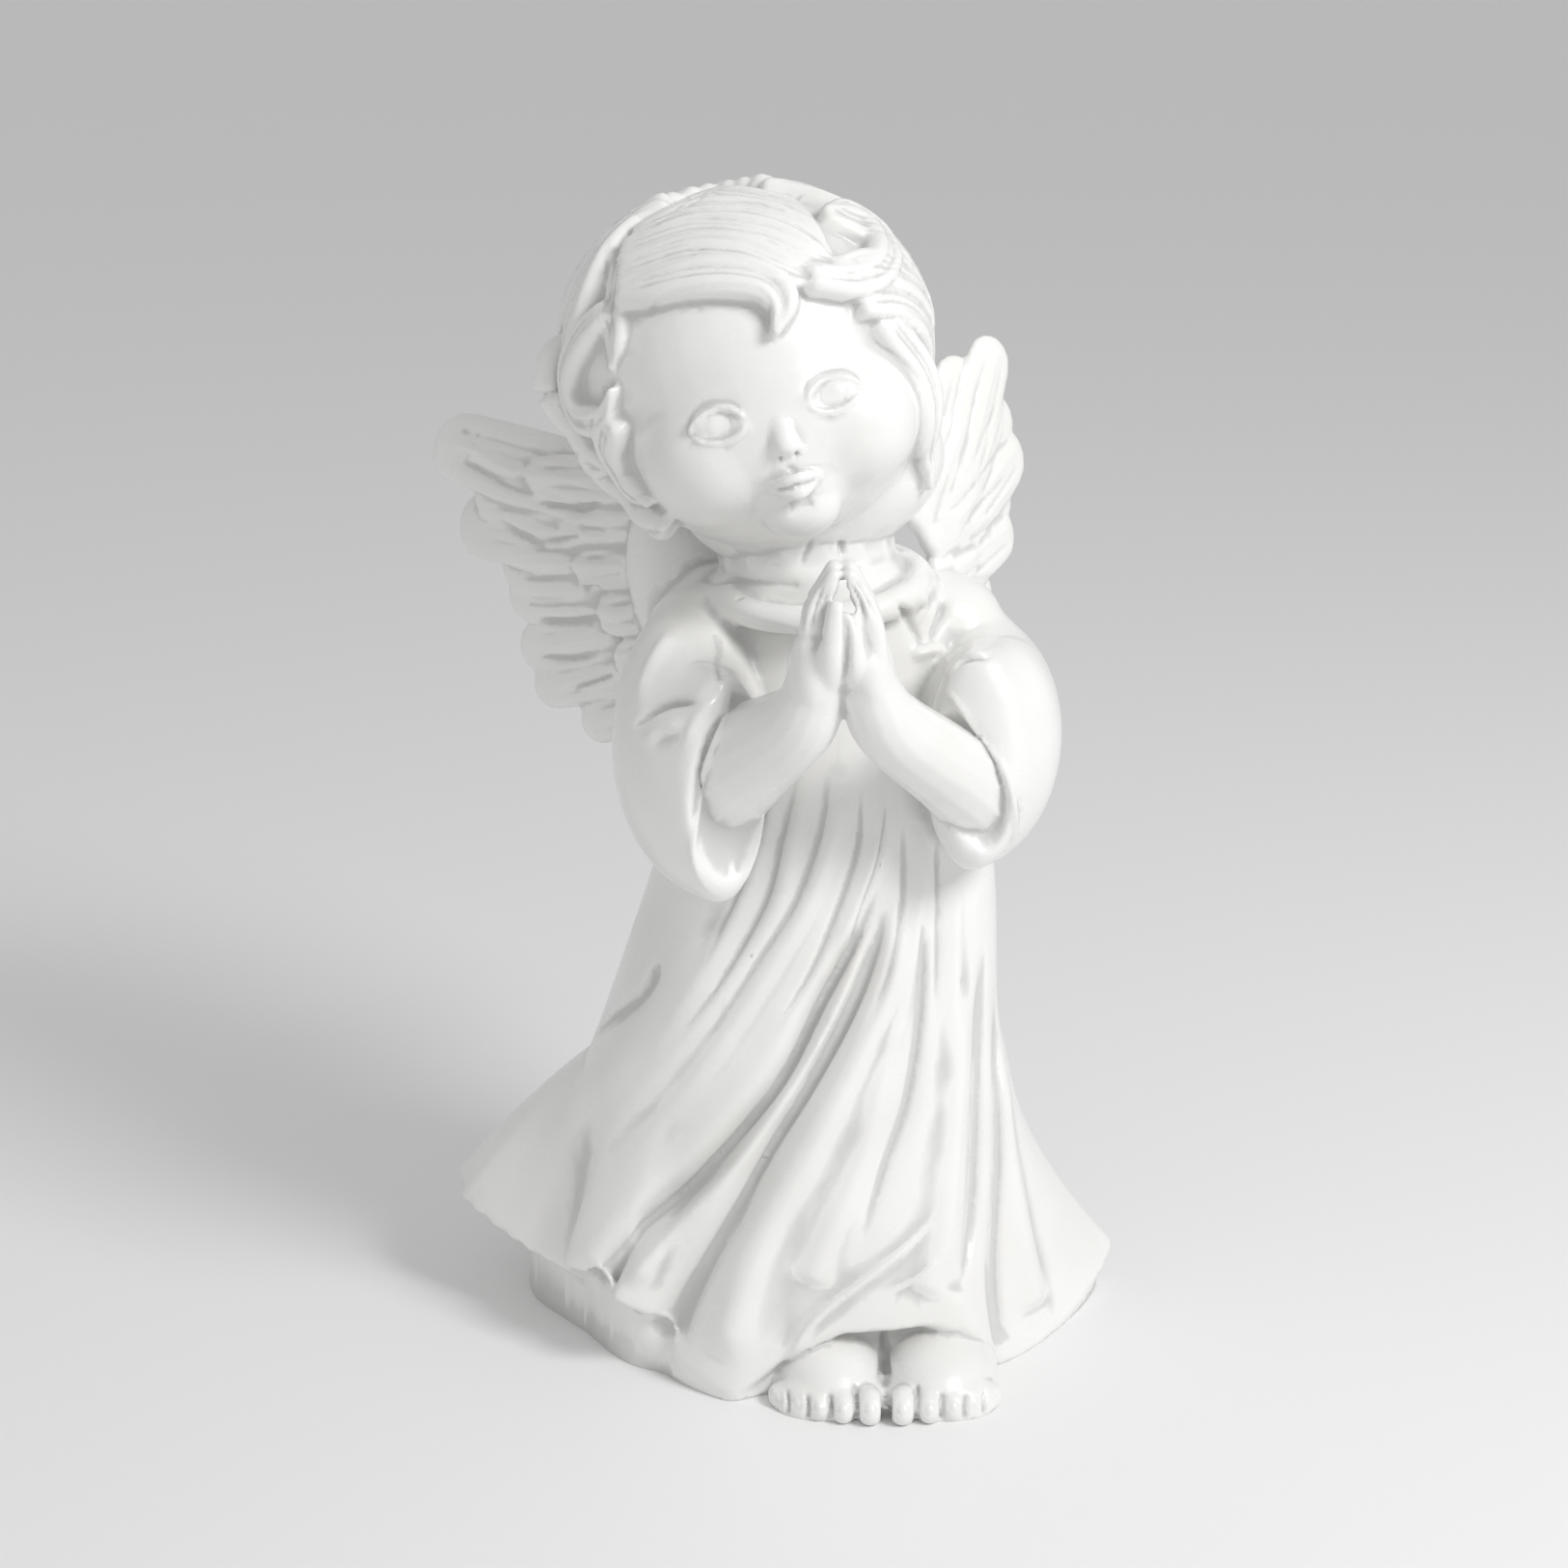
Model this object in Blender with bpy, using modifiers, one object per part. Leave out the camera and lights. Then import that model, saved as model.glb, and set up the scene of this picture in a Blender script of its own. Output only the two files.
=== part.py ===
"""A praying winged child in a long robe, cast in one piece: a small ornament for a grave.

It stands on its flat underside and looks towards -Y. Lengths are in millimetres until the forms
are made, and the finished solid is in metres with +Z up. It is modelled as clay would be: round
forms are laid side by side, fused, and then carved.
"""

import math

import bmesh
import bpy
import numpy as np
from mathutils import Euler, Matrix, Vector
from mathutils.bvhtree import BVHTree

MM = 0.001
UP, FRONT = (0, 0, 1), (0, -1, 0)

# Moves the finished form so that the middle of its box stands over the origin.
SHIFT = (0.81, 0.951)

FUSE_GRAIN = 0.8
FINE_GRAIN = 0.5
WHOLE_GRAIN = 0.7
SOLID_TRIANGLES = 8600

# The head turns in its own frame: x to the viewer's right, -y out of the face, z to the crown.
HEAD_CENTRE = (-3.6, -2.0, 168.0)
HEAD_TURN = (-8, -15, 5)
HAIR_CENTRE = (0, 4, 3)
EYE_APART = 9.4
EYE_HEIGHT = -3.4

UPPER_LIP = (
    (-3.8, -24.4, -15.1, 0.6),
    (-1.2, -26.0, -14.5, 1.0),
    (1.2, -26.0, -14.5, 1.0),
    (3.8, -24.4, -15.1, 0.6),
)
LOWER_LIP = ((-2.7, -24.8, -16.1, 0.7), (0, -25.8, -16.8, 1.2), (2.7, -24.8, -16.1, 0.7))
NOSE = ((0, -21.8, 0.5, 1.7), (0, -23.8, -4.5, 1.9), (0, -25.7, -8.6, 2.2))

# The robe as ellipses: height, centre x, centre y, half width, half depth.
ROBE = (
    (-3, 0, 4, 41, 33),
    (20, 1, 4, 40, 33),
    (43, 2, 3.5, 38, 31),
    (57, 3, 3, 34.5, 28.5),
    (81, 6.5, 2.5, 30, 24),
    (100, 8, 2, 26, 20),
    (118, 8.5, 2, 24, 17),
    (130, 8, 1, 20, 14),
    (138, 6, -1, 12, 11),
)
FLARE_TOP = 47
# The hem round the robe: azimuth from the front, reach, height, how far the foot is set back,
# and how hollow the flare above it is.
HEM = (
    (-180, 42, 4, 2.5, 1.6),
    (-150, 46, 7, 4, 1.5),
    (-122, 55, 15, 8, 1.2),
    (-100, 62, 20.5, 14, 0.95),
    (-90, 59.5, 19, 14, 1.0),
    (-78, 49.5, 15, 9, 1.3),
    (-69, 41.0, 11, 3, 1.9),
    (-61, 45.5, 16.5, 8, 1.4),
    (-44, 44.5, 14.5, 7, 1.4),
    (-36, 39.0, 11, 3, 1.8),
    (-29, 38.5, 4, 1, 1.6),
    (-13, 41.5, 1, 1, 1.6),
    (0, 39, 8, 4, 1.7),
    (14, 39, 11.5, 6, 1.7),
    (33, 42.5, 12, 6, 1.7),
    (44, 47, 9, 5, 1.7),
    (55, 46, 0.5, 1, 1.7),
    (74, 50, 0.5, 1, 1.7),
    (96, 60.5, 7.5, 3, 1.9),
    (122, 54, 6, 3, 1.7),
    (150, 46, 4, 2.5, 1.6),
    (180, 42, 4, 2.5, 1.6),
)
HEM_STEPS = 240
HEM_EDGE = 1.6

# Folds carved or raised in the robe, as (x, z) points seen from the front, the width at the top
# and at the bottom, and the height at the top and at the bottom.
FOLDS = (
    ((-8, 80), (-20, 61.6), (-34, 43), (-46, 28), (5, 8), (1.4, 2.0)),
    ((16.3, 92), (13, 80), (10, 74), (6, 67), (1, 57), (-4, 50), (-11.5, 40.5), (-19, 32), (-28, 23),
     (-36, 11), (1.5, 2.8), (-2.8, -5.0)),
    ((17.4, 87), (15, 76), (10.5, 65), (4.6, 54), (-2, 43), (-7.6, 33), (-14.6, 21), (-22, 5), (1.5, 2.6),
     (-2.8, -4.4)),
    ((15.5, 83), (11.5, 70), (4, 58), (-6, 45), (-17, 31), (-28, 17), (1.8, 2.6), (1.6, 2.4)),
    ((19, 84), (18, 72), (12, 58), (4, 42), (-4, 27), (-11, 6), (2.4, 3.6), (1.8, 2.2)),
    ((-0.4, 107), (-3.8, 92), (-7, 83), (-14, 69), (-22, 55), (-31, 42), (1.4, 2.4), (1.4, 1.0)),
    ((4.7, 108), (1.8, 96), (-1, 84), (-8.5, 71), (-18, 57), (-28, 44), (-38, 31), (1.4, 2.4), (1.4, 0.9)),
    ((9.3, 108), (8.2, 97), (4.2, 85), (-2, 74), (-12, 58), (-22, 44), (-31, 31), (1.4, 2.2), (1.4, 0.9)),
    ((15.9, 105), (15, 92), (11, 80), (9, 72), (5, 62), (-1, 52), (1.4, 1.6), (1.4, 0.8)),
    ((21.4, 98), (22.7, 84), (19.8, 66), (16, 54), (11, 43), (1.4, 1.8), (1.2, 0.8)),
    ((28.6, 88), (28.5, 70), (27.6, 50), (1.6, 1.8), (1.2, 0.8)),
    ((22.8, 86), (23, 67), (20.8, 50), (16.2, 37), (12.3, 24), (1.8, 2.4), (-1.4, -1.0)),
    ((34, 75), (33.2, 47), (32, 26), (29.5, 15.5), (1.6, 2.4), (-1.4, -1.0)),
    ((30, 70), (29, 47), (27, 28), (23, 17), (2.4, 3.0), (1.4, 1.4)),
    ((38, 60), (38.5, 40), (41, 22), (44, 6), (2.2, 3.6), (1.0, 1.6)),
    ((36.3, 64), (37.2, 37), (36.3, 15), (37.5, 3), (1.6, 2.2), (-1.0, -1.4)),
    ((17, 60), (14, 44), (8, 30), (4, 20), (2.2, 2.6), (1.0, 1.2)),
    ((-0.7, 4.2), (4.6, 13.7), (13, 20.4), (20.8, 25.5), (27, 30.4), (1.2, 1.0), (1.3, 0.8)),
    ((-20.9, 71.3), (-24, 64.4), (-30.7, 56.2), (-35, 48), (1.5, 1.8), (-1.2, -1.6)),
)
# A fold that ends above this height fades out slowly; the others run into the hem.
FADE_ABOVE = 23
SLOW_FADE, HEM_FADE = (0.2, 0.45), (0.2, 0.06)
# Plainer folds down the back: azimuth at the top and at the hem, and the height of the top.
BACK_FOLDS = (
    (110, 118, 82),
    (132, 138, 96),
    (152, 152, 88),
    (172, 166, 98),
    (192, 182, 86),
    (210, 200, 96),
    (230, 220, 84),
    (248, 236, 74),
)
BACK_FOLD_WIDTHS, BACK_FOLD_HEIGHTS = (2.0, 5.0), (2.0, 2.8)

# A bell sleeve from the shoulder to its mouth: x, y, z, half width, half height.
LEFT_SLEEVE = (
    (-11, 6, 125, 11, 11),
    (-15.5, -8, 114, 12.5, 17.5),
    (-15, -20, 107.5, 12.5, 19.5),
    (-10, -31, 107, 8, 19.5),
)
RIGHT_SLEEVE = (
    (27, 9, 124, 9.5, 9.5),
    (33, -1, 113, 12, 16.5),
    (34, -13, 109.5, 11.8, 18.5),
    (30.5, -25, 110, 8, 18.5),
)
# The hollows that open the sleeves and let the feet stand clear under the hem: centre, radii, turn,
# and the way the surface is pushed.
SLEEVE_HOLLOWS = (
    ((-5.5, -37, 107), (9.5, 10.5, 18.5), (0, 4, 0), (0, 1, 0)),
    ((-0.5, -35, 121), (9.5, 9, 10.5), (0, 0, 0), (0, 1, 0)),
    ((28.8, -34, 109), (6.8, 10.5, 18.3), (0, -21, 0), (-0.15, 1, 0)),
)
FEET_HOLLOW = ((18, -44, -1), (21, 15, 12.5), (0, 0, 0), (0, 1, 0.15))
SHOULDERS = (((-12, 0, 125.5), (11.5, 10, 8.5)), ((26, 4, 126.5), (11, 10, 8.5)))
NECK = ((6, 3, 126, 15, 12), (2, 2, 148, 15, 13))
COLLAR_CENTRE, COLLAR_RADII, COLLAR_TURN, COLLAR_WIDTH = (6, -1.5, 134), (16.5, 15.5), (8, -4, 0), 2.6

# A feather: base, tip, half width.
LEFT_WING = (
    ((-20, 17, 142), (-61.5, 28, 153), 7.4),
    ((-20, 17, 139), (-54.5, 26.5, 145.5), 7.0),
    ((-20, 17, 136), (-57.5, 27, 138.5), 7.4),
    ((-19, 16.5, 133), (-50, 25.5, 131), 6.4),
    ((-18, 16, 130), (-49, 25.5, 125.5), 6.2),
    ((-16, 15, 123), (-47, 24, 116), 5.6),
    ((-15, 14, 117), (-44.5, 22, 109.5), 5.2),
    ((-13, 14, 112), (-36, 18.5, 103.5), 5.0),
)
LEFT_COVERTS = (
    ((-17, 13.5, 148), (-45, 21.5, 147.5), 4.6),
    ((-17, 13.0, 143), (-40, 20.5, 140.0), 4.8),
    ((-16, 12.6, 136), (-37, 19.0, 131.5), 4.6),
    ((-15, 12, 128), (-33, 17.0, 123.5), 4.4),
    ((-13, 11, 121), (-30, 15.0, 116), 4.0),
)
RIGHT_WING = (
    ((24, 14, 141), (30.5, 26, 168), 6.8),
    ((28, 16, 140), (36.5, 31, 170.5), 6.4),
    ((28, 17, 139.5), (38, 32, 160), 7.0),
    ((28, 17, 139), (41.2, 34, 152), 7.2),
    ((28, 17, 135), (39, 32, 145), 6.6),
    ((27, 16, 132), (40.2, 31, 137.5), 6.6),
    ((26, 15, 126), (36.5, 27, 126.5), 6.0),
)
RIGHT_COVERTS = (
    ((23, 12.5, 142), (30, 22, 158), 5.4),
    ((25, 13.0, 138), (34, 24, 146), 5.2),
    ((26, 12.5, 132), (33.5, 22, 134), 4.8),
)
FEATHER_THICKNESS = 2.0
LEFT_WING_FACES, RIGHT_WING_FACES = (0.2, -1, 0.25), (0.75, -0.65, 0.2)

# A lock of hair: (azimuth, elevation) points on the head, half width, thickness, lift, strands.
LOCKS = (
    ((-66, 64), (-25, 82), (20, 80), (48, 62), (44, 42), 5.0, 2.0, 0.0, 3),
    ((-60, 58), (-22, 67), (18, 60), (34, 44), (37, 30), 4.6, 2.2, 0.4, 3),
    ((-55, 50), (-16, 54), (13, 44), (27, 31), (35, 23), 4.4, 2.4, 1.0, 3),
    ((-50, 42), (-20, 45), (2, 39), (15, 29), (25, 21), 4.0, 2.4, 1.0, 3),
    ((-46, 34), (-22, 35), (-4, 32), (8, 26), (11, 18), (6, 10), 3.6, 2.6, 1.4, 2),
    ((24, 23), (42, 18), (60, 22), (76, 34), (72, 44), (56, 46), 3.4, 2.6, 1.6, 2),
    ((60, 46), (70, 34), (78, 20), (82, 4), (84, -10), 4.6, 2.4, 0.6, 3),
    ((34, 22), (52, 20), (72, 12), (82, 0), (86, -16), 4.2, 2.6, 1.0, 3),
    ((39, 12), (56, 8), (72, -2), (80, -14), (84, -30), 3.8, 2.6, 0.8, 3),
    ((46, 4), (56, -9), (62, -22), (66, -36), (72, -50), 3.6, 2.6, 0.6, 2),
    ((110, 70), (97, 48), (95, 22), (98, -6), (98, -34), 5.0, 2.6, 0.6, 3),
    ((-112, 74), (-100, 54), (-95, 38), (-94, 20), 4.8, 2.2, 0.4, 3),
    ((-86, 64), (-76, 46), (-73, 32), (-80, 17), 4.4, 2.4, 0.8, 3),
    ((-66, 58), (-55, 40), (-51, 24), (-54, 12), 2.6, 1.6, 0.0, 2),
    ((-54, 30), (-66, 23), (-78, 11), (-76, 0), (-62, -2), (-53, 6), 3.0, 2.4, 0.8, 2),
    ((-94, 16), (-92, 0), (-88, -14), (-76, -18), 3.6, 2.6, 0.8, 2),
    ((-58, -4), (-68, -13), (-68, -24), (-56, -30), 3.4, 2.6, 0.8, 2),
    ((-92, -12), (-90, -26), (-78, -36), (-64, -38), (-52, -36), 3.8, 3.0, 1.6, 2),
    ((-110, 20), (-106, -4), (-104, -26), (-92, -44), 4.6, 2.8, 0.8, 3),
)
# A dished curl that stands out at the left like an ear.
OUTER_CURL = (
    (-26.5, 4, 13.5, 2.2),
    (-31, 3, 14, 2.4),
    (-34, 3, 9.5, 2.6),
    (-33, 3, 3.5, 2.4),
    (-29.5, 3, -1, 2.4),
    (-26.5, 4, -3, 2.2),
)
# The back of the hair: the azimuth of each wavy lock, how far it sways, and how far it stands out.
BACK_LOCKS = (125, 145, 165, 185, 205, 225, 245)
BACK_SWAY = 6
BACK_LIFTS = (0.4, 1.2)

# The hands meet at this x; the finger tips' heights run from the first finger to the last.
HANDS_MEET = 8.8
FINGER_TIPS = (145.6, 146.2, 145.6, 144.0)
FOREARMS = (
    ((-12, -19, 103, 9), (-5.6, -29, 112.5, 8.4), (2.0, -38.5, 120.5, 6.3), (4.8, -42, 127, 4.8)),
    ((33, -18, 101, 7.5), (26, -28, 110, 7), (16.5, -38, 120, 6.0), (13.2, -42, 127, 4.8)),
)
THUMBS = (
    ((6.4, -43.0, 127, 2.6), (7.2, -47.0, 134, 2.2), (7.9, -47.0, 141, 1.6)),
    ((11.3, -42.8, 127, 2.4), (10.6, -46.4, 133, 2.0), (10.0, -46.3, 139.2, 1.5)),
)

# The widths and the heights of the toes, from the big one out.
TOES = ((5.0, 3.1), (4.4, 2.7), (4.0, 2.5), (3.5, 2.3), (3.1, 2.1))


def rotation(turn):
    """The rotation for three angles in degrees, about x, then y, then z."""
    return Euler([math.radians(angle) for angle in turn]).to_matrix()


def head_frame():
    """Where the head's own frame lies: nodded, tilted to one side, then turned."""
    nod, tilt, yaw = (math.radians(angle) for angle in HEAD_TURN)
    turned = Matrix.Rotation(yaw, 4, "Z") @ Matrix.Rotation(tilt, 4, "Y") @ Matrix.Rotation(nod, 4, "X")
    return Matrix.Translation(Vector(HEAD_CENTRE) * MM) @ turned


def smooth_row(stations, steps):
    """Rows read at even steps from a smooth curve through the stations."""
    rows = np.asarray(stations, float)
    padded = np.vstack([2 * rows[0] - rows[1], rows, 2 * rows[-1] - rows[-2]])
    t = np.linspace(0, len(rows) - 1, steps)
    i = np.minimum(t.astype(int), len(rows) - 2)
    f = (t - i)[:, None]
    a, b, c, d = padded[i], padded[i + 1], padded[i + 2], padded[i + 3]
    return 0.5 * (2 * b + (c - a) * f + (2 * a - 5 * b + 4 * c - d) * f**2 + (3 * b - a - 3 * c + d) * f**3)


def ball(clay, centre, radii, turn=(0, 0, 0)):
    """An ellipsoid laid in the clay."""
    place = Matrix.Translation(Vector(centre) * MM) @ rotation(turn).to_4x4()
    place = place @ Matrix.Diagonal((*(radius * MM for radius in radii), 1.0))
    bmesh.ops.create_uvsphere(clay, u_segments=32, v_segments=20, radius=1, matrix=place)


def skin(clay, rings, closed=False):
    """A skin over rings of equally many points; it has flat ends unless it closes on itself."""
    made = [[clay.verts.new(Vector(point) * MM) for point in ring] for ring in rings]
    count = len(made[0])
    pairs = list(zip(made, made[1:]))
    if closed:
        pairs.append((made[-1], made[0]))
    for low, high in pairs:
        for i in range(count):
            j = (i + 1) % count
            clay.faces.new((low[i], low[j], high[j], high[i]))
    if not closed:
        clay.faces.new(list(reversed(made[0])))
        clay.faces.new(made[-1])


def sweep(clay, stations, up=UP, steps=24, sides=14, ends=(1.0, 1.0)):
    """A round-ended form along a smooth path; a station is x, y, z, half width and half thickness."""
    rows = np.asarray(stations, float)
    if rows.shape[1] == 4:
        rows = np.hstack([rows, rows[:, 3:4]])
    rows = smooth_row(rows, steps)
    path, width, depth = rows[:, :3], rows[:, 3], rows[:, 4]
    along = np.gradient(path, axis=0)
    along /= np.linalg.norm(along, axis=1)[:, None]
    ups = np.asarray(up, float)
    if ups.ndim == 1:
        ups = np.tile(ups, (2, 1))
    ups = smooth_row(ups, steps)
    cap = np.radians((78, 55, 30))
    lead = [(0, -ends[0] * math.sin(a), math.cos(a)) for a in cap]
    tail = [(-1, ends[1] * math.sin(a), math.cos(a)) for a in cap[::-1]]
    middle = [(i, 0, 1) for i in range(steps)]
    angles = np.linspace(0, 2 * math.pi, sides, endpoint=False)
    rings = []
    for i, reach, share in lead + middle + tail:
        normal = ups[i] - along[i] * (ups[i] @ along[i])
        normal /= np.linalg.norm(normal)
        side = np.cross(along[i], normal)
        centre = path[i] + along[i] * width[i] * reach
        round_part = np.outer(np.cos(angles) * width[i], side) + np.outer(np.sin(angles) * depth[i], normal)
        rings.append(centre + share * round_part)
    skin(clay, rings)


def band(clay, centre, radii, turn, width, steps=40, sides=12):
    """A round band that runs once round an ellipse."""
    spin = np.array(rotation(turn))
    angles = np.linspace(0, 2 * math.pi, sides, endpoint=False)
    rings = []
    for a in np.linspace(0, 2 * math.pi, steps, endpoint=False):
        out = spin @ (math.sin(a), -math.cos(a), 0)
        middle = np.array(centre) + spin @ (radii[0] * math.sin(a), -radii[1] * math.cos(a), 0)
        rings.append(middle + width * (np.outer(np.cos(angles), out) + np.outer(np.sin(angles), spin @ UP)))
    skin(clay, rings, closed=True)


def placed(clay, name):
    """The clay as an object in the scene."""
    bmesh.ops.recalc_face_normals(clay, faces=clay.faces)
    mesh = bpy.data.meshes.new(name)
    clay.to_mesh(mesh)
    clay.free()
    obj = bpy.data.objects.new(name, mesh)
    bpy.context.scene.collection.objects.link(obj)
    return obj


def baked(obj):
    """The object again with its modifiers worked in."""
    name = obj.name
    graph = bpy.context.evaluated_depsgraph_get()
    mesh = bpy.data.meshes.new_from_object(obj.evaluated_get(graph))
    bpy.data.objects.remove(obj)
    made = bpy.data.objects.new(name, mesh)
    bpy.context.scene.collection.objects.link(made)
    return made


def softened(obj, rounds):
    """The object with its surface smoothed."""
    soften = obj.modifiers.new("soften", "SMOOTH")
    soften.iterations = rounds
    soften.factor = 0.5
    return baked(obj)


def fused(clay, name, grain, rounds):
    """The forms in the clay as one skin with soft joins."""
    obj = placed(clay, name)
    fuse = obj.modifiers.new("fuse", "REMESH")
    fuse.mode = "VOXEL"
    fuse.voxel_size = grain * MM
    return softened(obj, rounds)


def gathered(*objects):
    """New clay that holds the objects, which are removed."""
    clay = bmesh.new()
    for obj in objects:
        clay.from_mesh(obj.data)
        bpy.data.objects.remove(obj)
    return clay


def points_and_normals(obj):
    """The object's points in millimetres, and the way the surface faces at each."""
    count = len(obj.data.vertices)
    points, normals = np.empty(count * 3, np.float32), np.empty(count * 3, np.float32)
    obj.data.vertices.foreach_get("co", points)
    obj.data.vertex_normals.foreach_get("vector", normals)
    return points.reshape(-1, 3).astype(float) / MM, normals.reshape(-1, 3).astype(float)


def set_points(obj, points):
    """Moves the object's points."""
    obj.data.vertices.foreach_set("co", (points * MM).astype(np.float32).ravel())
    obj.data.update()


def stroke(points, normals, path, widths, heights, ends):
    """Raises or, where the height is negative, carves a rounded line that fades over its end shares."""
    path = np.asarray(path, float)
    reach = 2.2 * max(widths)
    near = np.flatnonzero(((points > path.min(0) - reach) & (points < path.max(0) + reach)).all(1))
    best = np.full(len(near), 1e9)
    share = np.zeros(len(near))
    for i in range(len(path) - 1):
        span = path[i + 1] - path[i]
        t = np.clip((points[near] - path[i]) @ span / (span @ span), 0, 1)
        away = np.linalg.norm(points[near] - path[i] - t[:, None] * span, axis=1)
        closer = away < best
        best[closer] = away[closer]
        share[closer] = (i + t[closer]) / (len(path) - 1)
    width = widths[0] + (widths[1] - widths[0]) * share
    height = heights[0] + (heights[1] - heights[0]) * share
    fade = np.clip(np.minimum(share / ends[0], (1 - share) / ends[1]), 0, 1)
    lift = height * np.exp(-((best / width) ** 2)) * fade * fade * (3 - 2 * fade)
    moved = points.copy()
    moved[near] += normals[near] * lift[:, None]
    return moved


def scooped(points, centre, radii, turn, direction):
    """Pushes the points inside an ellipsoid along a direction, onto its far side."""
    spin = np.array(rotation(turn))
    local = ((points - centre) @ spin) / radii
    inside = np.flatnonzero((local**2).sum(1) < 1)
    step = np.asarray(direction, float) / np.linalg.norm(direction)
    way = (step @ spin) / radii
    a, b, c = way @ way, local[inside] @ way, (local[inside] ** 2).sum(1) - 1
    moved = points.copy()
    moved[inside] += np.outer((-b + np.sqrt(b * b - a * c)) / a, step)
    return moved


def tree_of(obj):
    """The object's surface, made ready for rays."""
    return BVHTree.FromObject(obj, bpy.context.evaluated_depsgraph_get())


def hit_point(tree, start, direction):
    """Where a ray first meets the surface, or None."""
    found = tree.ray_cast(Vector(start) * MM, Vector(direction))[0]
    return None if found is None else np.array(found) / MM


def robe(clay):
    """The robe: an ellipse at each height that flares out to an uneven hem set over a narrower foot."""
    turn = np.linspace(-180, 180, HEM_STEPS, endpoint=False)
    hem = np.array(HEM, float)
    reach, rise, tuck, power = (np.interp(turn, hem[:, 0], hem[:, k]) for k in (1, 2, 3, 4))
    across, forward = np.sin(np.radians(turn)), np.cos(np.radians(turn))
    rings = []
    for z, cx, cy, half_x, half_y in smooth_row(ROBE, 150):
        core = 1 / np.sqrt((across / half_x) ** 2 + (forward / half_y) ** 2)
        share = np.clip((FLARE_TOP - z) / (FLARE_TOP - rise), 0, 1)
        under = np.clip((rise - z) / HEM_EDGE, 0, 1)
        r = core + (reach - core) * share**power - tuck * under * under * (3 - 2 * under)
        rings.append(np.stack([cx + r * across, cy - r * forward, np.full(HEM_STEPS, z)], 1))
    skin(clay, rings)


def front_path(tree, points, steps=40):
    """A path on the surface behind (x, z) points seen from the front."""
    path = (hit_point(tree, (x, -120, z), (0, 1, 0)) for x, z in smooth_row(points, steps))
    return [point for point in path if point is not None]


def back_path(tree, top_turn, hem_turn, top, low=5, steps=30):
    """A path down the robe's back between two azimuths."""
    path = []
    for share in np.linspace(0, 1, steps):
        a = math.radians(top_turn + (hem_turn - top_turn) * share)
        start = (200 * math.sin(a), 4 - 200 * math.cos(a), top + (low - top) * share)
        path.append(hit_point(tree, start, (-math.sin(a), math.cos(a), 0)))
    return [point for point in path if point is not None]


def body():
    """The robe with its folds, the collar and the two hollow sleeves."""
    clay = bmesh.new()
    robe(clay)
    shell = placed(clay, "shell")
    tree = tree_of(shell)
    clay = gathered(shell)
    for sleeve in (LEFT_SLEEVE, RIGHT_SLEEVE):
        sweep(clay, sleeve, steps=30, sides=28, ends=(1, 0.4))
    for centre, radii in SHOULDERS:
        ball(clay, centre, radii)
    sweep(clay, NECK, up=FRONT)
    band(clay, COLLAR_CENTRE, COLLAR_RADII, COLLAR_TURN, COLLAR_WIDTH)
    made = fused(clay, "body", FUSE_GRAIN, 5)
    points, normals = points_and_normals(made)
    for *path, widths, heights in FOLDS:
        fade = SLOW_FADE if path[-1][1] > FADE_ABOVE else HEM_FADE
        points = stroke(points, normals, front_path(tree, path), widths, heights, fade)
    for top_turn, hem_turn, top in BACK_FOLDS:
        path = back_path(tree, top_turn, hem_turn, top)
        points = stroke(points, normals, path, BACK_FOLD_WIDTHS, BACK_FOLD_HEIGHTS, HEM_FADE)
    for hollow in (*SLEEVE_HOLLOWS, FEET_HOLLOW):
        points = scooped(points, *hollow)
    set_points(made, points)
    return softened(made, 2)


def feather(clay, base, tip, width, up):
    """A flat round-ended feather."""
    base, tip = np.array(base, float), np.array(tip, float)
    span = tip - base
    end = tip - span / np.linalg.norm(span) * width * 0.8
    t = FEATHER_THICKNESS
    rows = ((*base, width * 0.8, t), (*(base + end) / 2, width, t), (*end, width * 0.88, t * 0.8))
    sweep(clay, rows, up=up, steps=14, sides=16, ends=(0.5, 0.85))


def wings():
    """Two wings of overlapping feathers; the left one is seen broadside."""
    clay = bmesh.new()
    for feathers, up in (
        (LEFT_WING + LEFT_COVERTS, LEFT_WING_FACES),
        (RIGHT_WING + RIGHT_COVERTS, RIGHT_WING_FACES),
    ):
        for base, tip, width in feathers:
            feather(clay, base, tip, width, up)
    ball(clay, (-17, 12, 128), (9, 6, 18), (0, -18, 0))
    return fused(clay, "wings", FINE_GRAIN, 1)


def lock(clay, tree, points, width, depth, lift, strands):
    """A lock of hair: a bundle of tapering strands that follows the head."""
    outward, spine = [], []
    for azimuth, elevation in smooth_row(points, 14):
        a, e = math.radians(azimuth), math.radians(elevation)
        way = np.array((math.sin(a) * math.cos(e), -math.cos(a) * math.cos(e), math.sin(e)))
        outward.append(way)
        spine.append(hit_point(tree, way * 90 + HAIR_CENTRE, -way) + way * lift)
    outward, spine = np.array(outward), np.array(spine)
    across = np.cross(np.gradient(spine, axis=0), outward)
    across /= np.linalg.norm(across, axis=1)[:, None]
    share = np.linspace(0, 1, len(spine))
    taper = 0.55 + 0.45 * np.sin(np.pi * np.clip(share * 0.9 + 0.12, 0, 1))
    taper *= np.clip((1.12 - share) / 0.35, 0.3, 1)
    for k in range(round(strands)):
        aside = (2 * k - strands + 1) * width / strands * 0.92
        path = spine + across * (aside * taper)[:, None]
        strand = width / strands * 1.25 * taper
        rows = np.column_stack([path, strand, depth * (0.6 + 0.4 * taper)])
        sweep(clay, rows, up=outward, steps=26, sides=12, ends=(0.8, 1.6))


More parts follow.
